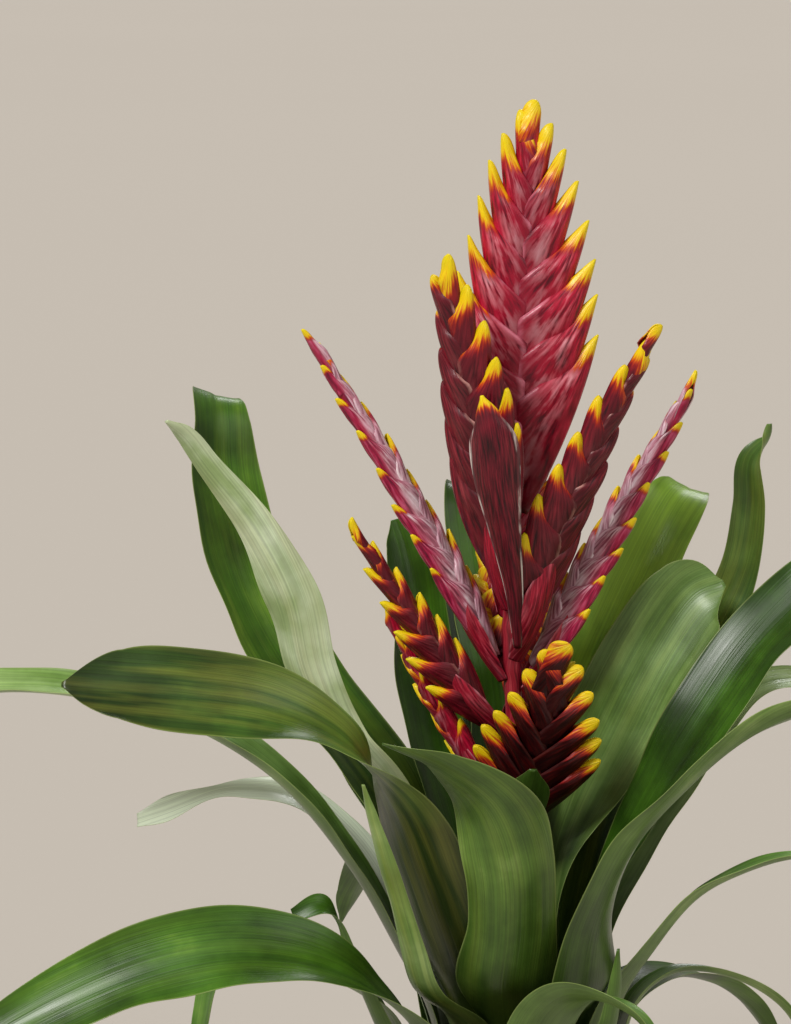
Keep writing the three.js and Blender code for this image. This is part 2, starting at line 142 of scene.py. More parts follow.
def tube(path, radii, sides, pattern_seed=0.0):
    """A round tube: each ring is a circle square to the path, and both ends close on a point."""
    tangent = unit(np.gradient(path, axis=0))
    first = unit(np.cross(tangent, [0.31, 0.95, 0.05]))
    second = np.cross(tangent, first)
    angle = np.linspace(0, 2 * math.pi, sides, endpoint=False)
    circle = np.cos(angle)[None, :, None] * first[:, None] + np.sin(angle)[None, :, None] * second[:, None]
    rings = path[:, None] + circle * np.asarray(radii)[:, None, None]
    rows = len(path)
    points = np.concatenate([rings.reshape(-1, 3), path[:1], path[-1:]])
    around = angle[None] * np.asarray(radii)[:, None]
    length = np.concatenate([[0], np.cumsum(np.linalg.norm(np.diff(path, axis=0), axis=1))])
    blade = np.stack(np.broadcast_arrays(around, length[:, None], pattern_seed), -1)
    blade = np.concatenate([blade.reshape(-1, 3), np.zeros((2, 3))])
    marks = dict(blade=blade, ripe=np.full(len(points), UNRIPE), inner=np.zeros(len(points)))
    return dict(points=points, faces=ring_faces(rows, sides), ends=end_fans(rows, sides), marks=marks)


def make_piece(name, parts, material, replaced=None):
    """One mesh object from several shells or tubes, with their marks as point attributes."""
    points, faces, marks, offset = [], [], {}, 0
    names = sorted({k for part in parts for k in part["marks"]})
    for part in parts:
        points.append(part["points"])
        for corners in (part["faces"], part.get("ends")):
            if corners is not None:
                faces.extend((corners + offset).tolist())
        for k in names:
            blank = np.zeros((len(part["points"]), 3) if k == "blade" else len(part["points"]))
            marks.setdefault(k, []).append(part["marks"].get(k, blank))
        offset += len(part["points"])
    mesh = bpy.data.meshes.new(name)
    mesh.from_pydata((np.concatenate(points) * MM).tolist(), [], faces)
    for k in names:
        values = np.concatenate(marks[k]).astype(np.float32)
        kind, field = ("FLOAT_VECTOR", "vector") if values.ndim == 2 else ("FLOAT", "value")
        mesh.attributes.new(k, kind, "POINT").data.foreach_set(field, values.ravel())
    if all("bake" in part for part in parts) and len(parts) == 1:
        layer = mesh.uv_layers.new(name="OFBake")
        layer.data.foreach_set("uv", parts[0]["bake"].astype(np.float32).ravel())
    mesh.polygons.foreach_set("use_smooth", np.ones(len(mesh.polygons), bool))
    mesh.update()
    piece = bpy.data.objects.new(name, mesh)
    bpy.context.scene.collection.objects.link(piece)
    piece.data.materials.append(material)
    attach(piece, "root")
    if replaced:
        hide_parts(*replaced)
    return piece


# ---------------------------------------------------------------- materials


def linear(hex_colour):
    """An sRGB hex colour such as 0x3F6B2C as the linear colour that a shader works in."""
    parts = [(hex_colour >> shift & 255) / 255 for shift in (16, 8, 0)]
    return tuple(c / 12.92 if c <= 0.04045 else ((c + 0.055) / 1.055) ** 2.4 for c in parts) + (1.0,)


def add(tree, kind, inputs=None, stops=None, output=0, **settings):
    """Adds a shader node with its settings and gives back one of its outputs. Each input takes a value or
    another node's output, and stops are the places and colours of a colour ramp."""
    made = tree.nodes.new(kind)
    for key, value in settings.items():
        setattr(made, key, value)
    for key, value in (inputs or {}).items():
        if isinstance(value, bpy.types.NodeSocket):
            tree.links.new(value, made.inputs[key])
        else:
            made.inputs[key].default_value = value
    if stops:
        ramp = made.color_ramp
        while len(ramp.elements) < len(stops):
            ramp.elements.new(0.5)
        for element, (place, colour) in zip(ramp.elements, stops):
            element.position = place
            element.color = linear(colour)
    return made.outputs[output] if made.outputs else None


def start_material(name):
    """A new material with an empty node tree, and that tree."""
    material = bpy.data.materials.new(name)
    material.use_nodes = True
    material.node_tree.nodes.clear()
    return material, material.node_tree


def finish_material(tree, colour, roughness, bump, **constants):
    """The Principled shader that ends every material: colour, roughness and bump are outputs."""
    inputs = {"Base Color": colour, "Roughness": roughness, "Normal": bump}
    inputs.update({k.replace("_", " "): v for k, v in constants.items()})
    shader = add(tree, "ShaderNodeBsdfPrincipled", inputs)
    add(tree, "ShaderNodeOutputMaterial", {"Surface": shader})


def waxy_leaf():
    """Living bromeliad leaf: a thick waxy skin over fine parallel veins, a deep satin green above and a
    little greyer below, with long soft highlights. Leaves marked grey carry a pale waxy bloom, and leaves
    marked ochre carry yellow-green streaks: painted light shining through the thin blade."""
    material, tree = start_material("waxy_leaf")
    blade = add(tree, "ShaderNodeAttribute", attribute_name="blade", output="Vector")
    under, grey, ochre, tone, edge, rise = [
        add(tree, "ShaderNodeAttribute", attribute_name=mark, output="Fac")
        for mark in ("under", "grey", "ochre", "tone", "edge", "rise")
    ]
    # veins 0.7 mm apart and about 80 mm long; broad streaks 6 mm by 90 mm; clouds 30 mm across
    vein_place = add(tree, "ShaderNodeMapping", {"Vector": blade, "Scale": (1.5, 0.012, 1.0)})
    streak_place = add(tree, "ShaderNodeMapping", {"Vector": blade, "Scale": (0.17, 0.011, 1.0)})
    cloud_place = add(tree, "ShaderNodeMapping", {"Vector": blade, "Scale": (0.04, 0.03, 1.0)})
    vein = add(tree, "ShaderNodeTexNoise", {"Vector": vein_place, "Scale": 1.0, "Detail": 2.0})
    streak = add(tree, "ShaderNodeTexNoise", {"Vector": streak_place, "Scale": 1.0, "Detail": 3.0})
    cloud = add(tree, "ShaderNodeTexNoise", {"Vector": cloud_place, "Scale": 1.0, "Detail": 4.0})
    soft = add(tree, "ShaderNodeMath", {0: streak, 1: 0.45}, operation="MULTIPLY")
    mixed = add(tree, "ShaderNodeMath", {0: soft, 1: cloud}, operation="ADD")
    shade = add(tree, "ShaderNodeMath", {0: mixed, 1: tone}, operation="ADD")
    level = add(tree, "ShaderNodeMapRange", {0: shade, 1: 0.38, 2: 1.38, 3: 0.0, 4: 1.0})
    top = add(tree, "ShaderNodeValToRGB", {0: level},
              [(0.0, 0x142606), (0.3, 0x28480A), (0.6, 0x447214), (1.0, 0x84AE34)])
    below = add(tree, "ShaderNodeValToRGB", {0: level},
                [(0.0, 0x243608), (0.3, 0x3E5A1C), (0.6, 0x5E8030), (1.0, 0xA0BA6A)])
    bloomed = add(tree, "ShaderNodeValToRGB", {0: level},
                  [(0.0, 0x3E5022), (0.4, 0x6A8144), (0.7, 0x98AC78), (1.0, 0xDAE6CC)])
    skin = add(tree, "ShaderNodeMix", {0: under, 6: top, 7: below}, data_type="RGBA", output=2)
    hazed = add(tree, "ShaderNodeMix", {0: grey, 6: skin, 7: bloomed}, data_type="RGBA", output=2)
    # painted glow: yellow-green streaks that stand in for light shining through the thin blade
    thin = add(tree, "ShaderNodeMapRange", {0: streak, 1: 0.42, 2: 0.66, 3: 0.0, 4: 1.0})
    painted_glow_through = add(tree, "ShaderNodeMath", {0: thin, 1: ochre}, operation="MULTIPLY")
    warmed = add(tree, "ShaderNodeMix", {0: painted_glow_through, 6: hazed, 7: linear(0x97953C)}, data_type="RGBA",
                 output=2)
    dark = add(tree, "ShaderNodeMapRange", {0: vein, 1: 0.35, 2: 0.65, 3: 0.82, 4: 1.14})
    veined = add(tree, "ShaderNodeVectorMath", {0: warmed, "Scale": dark}, operation="SCALE")
    # towards the heart of the rosette the blades are darker, partly a deeper green and partly painted shade
    # of the rosette's hollow, down to the yellower feet of the blades
    heart_tone_and_shade = add(tree, "ShaderNodeMapRange", {0: rise, 1: 0.15, 2: 0.6, 3: 0.62, 4: 1.0})
    deepened = add(tree, "ShaderNodeVectorMath", {0: veined, "Scale": heart_tone_and_shade}, operation="SCALE")
    foot = add(tree, "ShaderNodeMapRange", {0: rise, 1: 0.02, 2: 0.25, 3: 0.5, 4: 0.0})
    footed = add(tree, "ShaderNodeMix", {0: foot, 6: deepened, 7: linear(0x56701E)}, data_type="RGBA",
                 output=2)
    # the pale margin is partly the blade's own paler edge and partly a painted highlight of light catching
    # the thin rim
    rim = add(tree, "ShaderNodeMapRange", {0: edge, 1: 0.96, 2: 1.0, 3: 0.0, 4: 0.4})
    rimmed = add(tree, "ShaderNodeMix", {0: rim, 6: footed, 7: linear(0xA4B468)}, data_type="RGBA", output=2)
    wax = add(tree, "ShaderNodeMapRange", {0: cloud, 1: 0.3, 2: 0.7, 3: 0.28, 4: 0.44})
    height = add(tree, "ShaderNodeMath", {0: vein, 1: streak}, operation="ADD")
    bump = add(tree, "ShaderNodeBump", {"Strength": 0.3, "Distance": 0.0005, "Height": height})
    finish_material(tree, rimmed, wax, bump, Specular_IOR_Level=0.4, Coat_Weight=0.1, Coat_Roughness=0.2)
    return material


def waxy_bract(name, shadow, body, glow, bloom, ripe_reach, film_and_sheen_strength=0.5, rim_colour=None,
               centre=None, rim_start=0.91):
    """Living bract: a stiff waxy scale whose colour runs from a dark foot through red to a yellow point,
    in fine lengthwise streaks; the dark foot is partly its own colour and partly painted shade where it
    tucks under the bract below. shadow, body and glow are its reds from dark to light, and bloom is the
    pale colour of the waxy coat that lies in lengthwise patches along its flanks, with a painted sheen of
    highlights in it, as strongly as film_and_sheen_strength says.
    ripe_reach is how far below the yellow, in lengths of the yellow, the point's colours begin to show.
    centre is its colour near the spike's middle line, rim_colour is the colour of its margins, and
    rim_start is where across a flank they begin."""
    material, tree = start_material(name)
    blade = add(tree, "ShaderNodeAttribute", attribute_name="blade", output="Vector")
    ripe, edge, inner = [
        add(tree, "ShaderNodeAttribute", attribute_name=mark, output="Fac")
        for mark in ("ripe", "edge", "inner")
    ]
    # streaks 0.8 mm wide and 12 mm long; patches of waxy bloom and painted sheen 3 mm by 14 mm
    streak_place = add(tree, "ShaderNodeMapping", {"Vector": blade, "Scale": (1.2, 0.08, 1.0)})
    patch_place = add(tree, "ShaderNodeMapping", {"Vector": blade, "Scale": (0.33, 0.07, 1.0)})
    streak = add(tree, "ShaderNodeTexNoise", {"Vector": streak_place, "Scale": 1.0, "Detail": 3.0})
    patch = add(tree, "ShaderNodeTexNoise", {"Vector": patch_place, "Scale": 1.0, "Detail": 3.0})
    red = add(tree, "ShaderNodeValToRGB", {0: streak}, [(0.32, shadow), (0.5, body), (0.7, glow)])
    # the waxy bloom, with its painted sheen of highlights, is strongest in the middle of each flank
    mid = add(tree, "ShaderNodeMath", {0: edge, 1: 0.7}, operation="SUBTRACT")
    away = add(tree, "ShaderNodeMath", {0: mid}, operation="ABSOLUTE")
    band = add(tree, "ShaderNodeMapRange", {0: away, 1: 0.0, 2: 0.32, 3: film_and_sheen_strength, 4: 0.0})
    both = add(tree, "ShaderNodeMath", {0: streak, 1: patch}, operation="ADD")
    spots = add(tree, "ShaderNodeMapRange", {0: both, 1: 0.94, 2: 1.28, 3: 0.0, 4: 1.0})
    film_and_sheen = add(tree, "ShaderNodeMath", {0: band, 1: spots}, operation="MULTIPLY")
    filmed = add(tree, "ShaderNodeMix", {0: film_and_sheen, 6: red, 7: linear(bloom)}, data_type="RGBA", output=2)
    # towards the spike's middle line the colour turns to the centre colour: on the dark reds this is partly
    # their darker foot and partly painted shade where each bract tucks under the one below; on the veined
    # bracts it is a paler colour of their own
    deep = add(tree, "ShaderNodeMapRange", {0: inner, 1: 0.35, 2: 1.0, 3: 0.0, 4: 0.7})
    uneven = add(tree, "ShaderNodeMapRange", {0: streak, 1: 0.35, 2: 0.6, 3: 0.35, 4: 1.0})
    depth = add(tree, "ShaderNodeMath", {0: deep, 1: uneven}, operation="MULTIPLY")
    heart_tone_and_shade = linear(centre or shadow)
    deepened = add(tree, "ShaderNodeMix", {0: depth, 6: filmed, 7: heart_tone_and_shade}, data_type="RGBA", output=2)
    # the margins are thin and pale, in broken lines; on the closed bud their near-white colour is a painted
    # highlight of light catching the edges
    line = add(tree, "ShaderNodeMapRange", {0: edge, 1: rim_start, 2: rim_start + 0.07, 3: 0.0, 4: 0.85})
    broken = add(tree, "ShaderNodeMapRange", {0: patch, 1: 0.44, 2: 0.6, 3: 0.05, 4: 1.0})
    rim = add(tree, "ShaderNodeMath", {0: line, 1: broken}, operation="MULTIPLY")
    pale = linear(rim_colour or bloom)
    rimmed = add(tree, "ShaderNodeMix", {0: rim, 6: deepened, 7: pale}, data_type="RGBA", output=2)
    # ripeness is 1 at the point and 0 where the yellow ends; streaks and patches fray that border
    fray = add(tree, "ShaderNodeMapRange", {0: both, 1: 0.75, 2: 1.25, 3: -0.3, 4: 0.3})
    frayed = add(tree, "ShaderNodeMath", {0: ripe, 1: fray}, operation="ADD")
    scaled = add(tree, "ShaderNodeMapRange", {0: frayed, 1: -0.6, 2: 1.0, 3: 0.0, 4: 1.0})
    tip = add(tree, "ShaderNodeValToRGB", {0: scaled},
              [(0.0, body), (0.2, 0x981818), (0.34, 0xC8480E), (0.44, 0xE09408), (0.56, 0xF0C804),
               (1.0, 0xF0DC10)])
    mask = add(tree, "ShaderNodeMapRange", {0: frayed, 1: -ripe_reach, 2: -0.1, 3: 0.0, 4: 1.0})
    colour = add(tree, "ShaderNodeMix", {0: mask, 6: rimmed, 7: tip}, data_type="RGBA", output=2)
    wax = add(tree, "ShaderNodeMapRange", {0: patch, 1: 0.3, 2: 0.7, 3: 0.5, 4: 0.28})
    bump = add(tree, "ShaderNodeBump", {"Strength": 0.6, "Distance": 0.0008, "Height": both})
    finish_material(tree, colour, wax, bump, Specular_IOR_Level=0.32, Coat_Weight=0.08, Coat_Roughness=0.15)
    return material


def red_stem():
    """Living flower stem: smooth, round and waxy, deep red with fine lengthwise fibres."""
    material, tree = start_material("red_stem")
    blade = add(tree, "ShaderNodeAttribute", attribute_name="blade", output="Vector")
    # fibres 0.8 mm wide and 20 mm long
    place = add(tree, "ShaderNodeMapping", {"Vector": blade, "Scale": (1.2, 0.05, 1.0)})
    fibre = add(tree, "ShaderNodeTexNoise", {"Vector": place, "Scale": 1.0, "Detail": 3.0})
    colour = add(tree, "ShaderNodeValToRGB", {0: fibre},
                 [(0.3, 0x5A0E1C), (0.5, 0x94182A), (0.75, 0xB84048)])
    rough = add(tree, "ShaderNodeMapRange", {0: fibre, 1: 0.3, 2: 0.7, 3: 0.32, 4: 0.48})
    bump = add(tree, "ShaderNodeBump", {"Strength": 0.4, "Distance": 0.0004, "Height": fibre})
    finish_material(tree, colour, rough, bump, Coat_Weight=0.15, Coat_Roughness=0.25)
    return material


def stone_ceramic():
    """Unglazed stoneware, turned and fired: a matt pale stone colour with fine iron specks and the faint
    rings that turning leaves."""
    material, tree = start_material("stone_ceramic")
    place = add(tree, "ShaderNodeTexCoord", output="Object")
    # specks about 0.8 mm, clouds about 40 mm, turning rings 2.5 mm apart up the wall
    speck = add(tree, "ShaderNodeTexNoise", {"Vector": place, "Scale": 900.0, "Detail": 2.0})
    cloud = add(tree, "ShaderNodeTexNoise", {"Vector": place, "Scale": 22.0, "Detail": 4.0})
    level = add(tree, "ShaderNodeMapRange", {0: cloud, 1: 0.3, 2: 0.7, 3: 0.0, 4: 1.0})
    clay = add(tree, "ShaderNodeValToRGB", {0: level}, [(0.0, 0xC9C3B8), (1.0, 0xDEDAD1)])
    dots = add(tree, "ShaderNodeMapRange", {0: speck, 1: 0.66, 2: 0.72, 3: 0.0, 4: 0.65})
    colour = add(tree, "ShaderNodeMix", {0: dots, 6: clay, 7: linear(0x6F5F50)}, data_type="RGBA", output=2)
    rings = add(tree, "ShaderNodeTexWave", {"Vector": place, "Scale": 64.0, "Distortion": 0.6},
                bands_direction="Z", output="Fac")
    height = add(tree, "ShaderNodeMath", {0: rings, 1: speck}, operation="ADD")
    bump = add(tree, "ShaderNodeBump", {"Strength": 0.25, "Distance": 0.0004, "Height": height})
    rough = add(tree, "ShaderNodeMapRange", {0: cloud, 1: 0.3, 2: 0.7, 3: 0.58, 4: 0.72})
    finish_material(tree, colour, rough, bump)
    return material


def crumbly_grain(name, dark, light):
    """Composted bark, bark chips and expanded perlite: dull and uneven, with crumbs about 2 mm across."""
    material, tree = start_material(name)
    place = add(tree, "ShaderNodeTexCoord", output="Object")
    crumb = add(tree, "ShaderNodeTexNoise", {"Vector": place, "Scale": 450.0, "Detail": 5.0})
    colour = add(tree, "ShaderNodeValToRGB", {0: crumb}, [(0.35, dark), (0.65, light)])
    rough = add(tree, "ShaderNodeMapRange", {0: crumb, 1: 0.3, 2: 0.7, 3: 0.85, 4: 1.0})
    bump = add(tree, "ShaderNodeBump", {"Strength": 0.8, "Distance": 0.001, "Height": crumb})
    finish_material(tree, colour, rough, bump)
    return material


def studio_paper():
    """Matt studio paper under soft light: an even warm pale grey with hardly any grain."""
    material, tree = start_material("studio_paper")
    place = add(tree, "ShaderNodeTexCoord", output="Object")
    grain = add(tree, "ShaderNodeTexNoise", {"Vector": place, "Scale": 0.2, "Detail": 1.0})
    colour = add(tree, "ShaderNodeValToRGB", {0: grain}, [(0.3, 0xBFB9B1), (0.7, 0xC0BAB2)])
    rough = add(tree, "ShaderNodeMapRange", {0: grain, 1: 0.3, 2: 0.7, 3: 0.9, 4: 1.0})
    bump = add(tree, "ShaderNodeBump", {"Strength": 0.05, "Distance": 0.0002, "Height": grain})
    finish_material(tree, colour, rough, bump, Specular_IOR_Level=0.0)
    return material


LEAF = waxy_leaf()
CRIMSON = waxy_bract("crimson_bract", 0x5A061C, 0xB00A30, 0xDA2248, 0xF8C8D2, 0.45, 0.62, 0xD87C90)
MAROON = waxy_bract("maroon_bract", 0x300410, 0x6C081E, 0x98182E, 0xA86060, 1.5, 0.3, 0xC89088)
VEINED = waxy_bract("veined_bract", 0x64082C, 0xA81844, 0xCC587C, 0xFCF4F8, 0.4, 1.1, 0xF8E8EC, 0xE0C0D0)
DUSKY = waxy_bract("dusky_bract", 0x1A0406, 0x3C060A, 0x6A100E, 0x401014, 1.2, 0.1, 0x4A1410)
SHEATH = waxy_bract("crimson_sheath", 0x50061A, 0x920C28, 0xBA1C38, 0xD88490, 0.6, 0.35)
# the closed bud's near-white margins, starting further in, are a painted highlight of light catching its
# edges
BUD = waxy_bract("olive_tipped_bract", 0x26050C, 0x5A0A1C, 0x82182A, 0x8A4A44, 1.4, 0.2, 0xF0E6E0,
                 rim_start=0.82)
STEM = red_stem()


# ---------------------------------------------------------------- pot and potting mix


def turned(name, profile, segments, material, node):
    """A turned piece: its profile, as (radius, height) from the axis round to the axis, is carried round
    the upright axis. Both ends of the profile close on a point."""
    profile = np.array(profile, float)
    angle = np.linspace(0, 2 * math.pi, segments, endpoint=False)
    ring = np.stack([np.cos(angle), np.sin(angle)], -1)
    r, z = profile[1:-1, 0], profile[1:-1, 1]
    flat = r[:, None, None] * ring[None]
    rings = np.concatenate([flat, np.broadcast_to(z[:, None, None], flat.shape[:2] + (1,))], -1)
    points = np.concatenate([rings.reshape(-1, 3), [[0, 0, profile[0, 1]]], [[0, 0, profile[-1, 1]]]])
    size = (len(r), segments)
    part = dict(points=points, faces=ring_faces(*size), ends=end_fans(*size), marks={})
    return make_piece(name, [part], material, [node])


def rounded(corners, radius, steps=5):
    """The profile's corners, each cut off by an arc-like curve that starts a radius before the corner and
    ends a radius after it."""
    corners = np.array(corners, float)
    t = np.linspace(0, 1, steps)[:, None]
    path = [corners[:1]]
    for before, corner, after in zip(corners, corners[1:], corners[2:]):
        start = corner + unit(before - corner) * min(radius, np.linalg.norm(before - corner) / 2.2)
        end = corner + unit(after - corner) * min(radius, np.linalg.norm(after - corner) / 2.2)
        path.append((1 - t) ** 2 * start + 2 * t * (1 - t) * corner + t**2 * end)
    return np.concatenate(path + [corners[-1:]])


def inner_radius(z):
    """The radius of the pot's inner wall, which tapers evenly from the floor to the top."""
    bottom = POT["foot_radius"] - POT["wall"]
    top = POT["top_radius"] - POT["wall"]
    return bottom + (top - bottom) * (z - POT["floor"]) / (POT["height"] - POT["rim_round"] - POT["floor"])


def make_pot():
    """The outer wall leans out from the foot to the rim band, which stands proud of it, and the inner wall
    goes back down to the floor. Every corner is rounded."""
    height, rim, band = POT["height"], POT["rim_radius"], POT["height"] - POT["rim_band"]
    outline = [(0, 0), (POT["foot_radius"], 0), (POT["top_radius"], band), (rim - 0.6, band + 0.8),
               (rim, height), (POT["top_radius"] - POT["wall"], height),
               (POT["foot_radius"] - POT["wall"], POT["floor"]), (0, POT["floor"])]
    turned("stoneware_pot", rounded(outline, 1.8), 160, stone_ceramic(), "pot")


def make_potting_mix():
    """A lumpy disc: the surface falls a little towards the wall, and sums of sines make its lumps."""
    z0 = POT["floor"] + GAP
    radius = np.concatenate([[1, inner_radius(z0) - 1], np.linspace(inner_radius(SOIL_TOP - 3) - 1, 2, 46)])
    angle = np.linspace(0, 2 * math.pi, 120, endpoint=False)
    r, a = np.meshgrid(radius, angle, indexing="ij")
    x, y = r * np.cos(a), r * np.sin(a)
    lumps = np.sin(x * 0.9 + 1.3 * np.sin(y * 0.5)) * np.sin(y * 0.8 + 1.1 * np.sin(x * 0.6))
    lumps = lumps + 0.5 * np.sin(x * 2.3 + y) * np.sin(y * 2.1 - x)
    top = SOIL_TOP - 1.2 - 2 * np.clip((r - 42) / 12, 0, 1) + 0.8 * lumps
    level = np.where(np.arange(len(radius))[:, None] < 2, z0, top)
    points = np.concatenate([np.stack([x, y, level], -1).reshape(-1, 3), [[0, 0, z0]], [[0, 0, SOIL_TOP]]])
    part = dict(points=points, faces=ring_faces(*r.shape), ends=end_fans(*r.shape), marks={})
    bark = crumbly_grain("composted_bark", 0x1E1410, 0x4A3426)
    make_piece("potting_mix_surface", [part], bark, ["potting_mix"])


def squared(w, power=0.6):
    """A sine or cosine raised to a power, with its sign kept, which squares a circle off."""
    return np.sign(w) * np.abs(w) ** power


def chip(place, size, turn):
    """A flat chip: five rings of six points on a ball squared off by a power of its sines, scaled to its
    size, tilted and turned."""
    rows, sides = 5, 6
    down = np.linspace(0.001, math.pi - 0.001, rows)
    around = np.linspace(0, 2 * math.pi, sides + 1)[:-1]
    u, v = np.meshgrid(down, around, indexing="ij")
    girth = squared(np.sin(u))
    local = np.stack([girth * squared(np.cos(v)), girth * squared(np.sin(v)), -np.cos(u)], -1) * size
    c, s = np.cos(turn), np.sin(turn)
    tilt = np.array([[c[0], -s[0], 0], [s[0], c[0], 0], [0, 0, 1]]) @ np.array(
        [[1, 0, 0], [0, c[1], -s[1]], [0, s[1], c[1]]])
    points = local.reshape(-1, 3) @ tilt.T + place
    points = np.concatenate([points, points[:sides].mean(0)[None], points[-sides:].mean(0)[None]])
    return dict(points=points, faces=ring_faces(rows, sides), ends=end_fans(rows, sides), marks={})


def make_chips():
    """Bark chips lie over the whole surface, and grains of perlite among them: each kind's count and its
    smallest and largest half length."""
    random = np.random.default_rng(7)
    for name, count, low, high, material in (
        ("bark_chips", 260, 2.0, 5.5, crumbly_grain("bark_chip", 0x3A2416, 0x7A5636)),
        ("perlite_grains", 50, 0.9, 1.9, crumbly_grain("perlite", 0xB9B4A8, 0xE6E2D8)),
    ):
        reach = np.sqrt(random.uniform(0.02, 1, count)) * (inner_radius(SOIL_TOP) - 6)
        angle = random.uniform(0, 2 * math.pi, count)
        height = SOIL_TOP - 0.6 + random.uniform(-1, 0.6, count)
        places = np.stack([reach * np.cos(angle), reach * np.sin(angle), height], -1)
        long = random.uniform(low, high, count)
        wide = long * random.uniform(0.45, 0.8, count)
        flat = long * random.uniform(0.22, 0.4, count)
        sizes = np.stack([long, wide, flat], -1)
        turns = np.stack([random.uniform(0, 6.28, count), random.uniform(-0.4, 0.4, count)], -1)
        make_piece(name, [chip(*c) for c in zip(places, sizes, turns)], material)


def make_stem():
    """A tapered rod with a slight swelling at each node, where a spike or a small leaf grows."""
    t = np.linspace(0, 1, 120)
    path = smooth_curve(STEM_POINTS, t)
    swell = sum(0.5 * np.exp(-(((path[:, 2] - z) / 3) ** 2)) for z in STEM_NODES)
    radii = STEM_RADIUS * (1 - 0.4 * t) + swell
    make_piece("red_flower_stem", [tube(path, radii, 24)], STEM, ["flower_stem"])


# ---------------------------------------------------------------- leaves

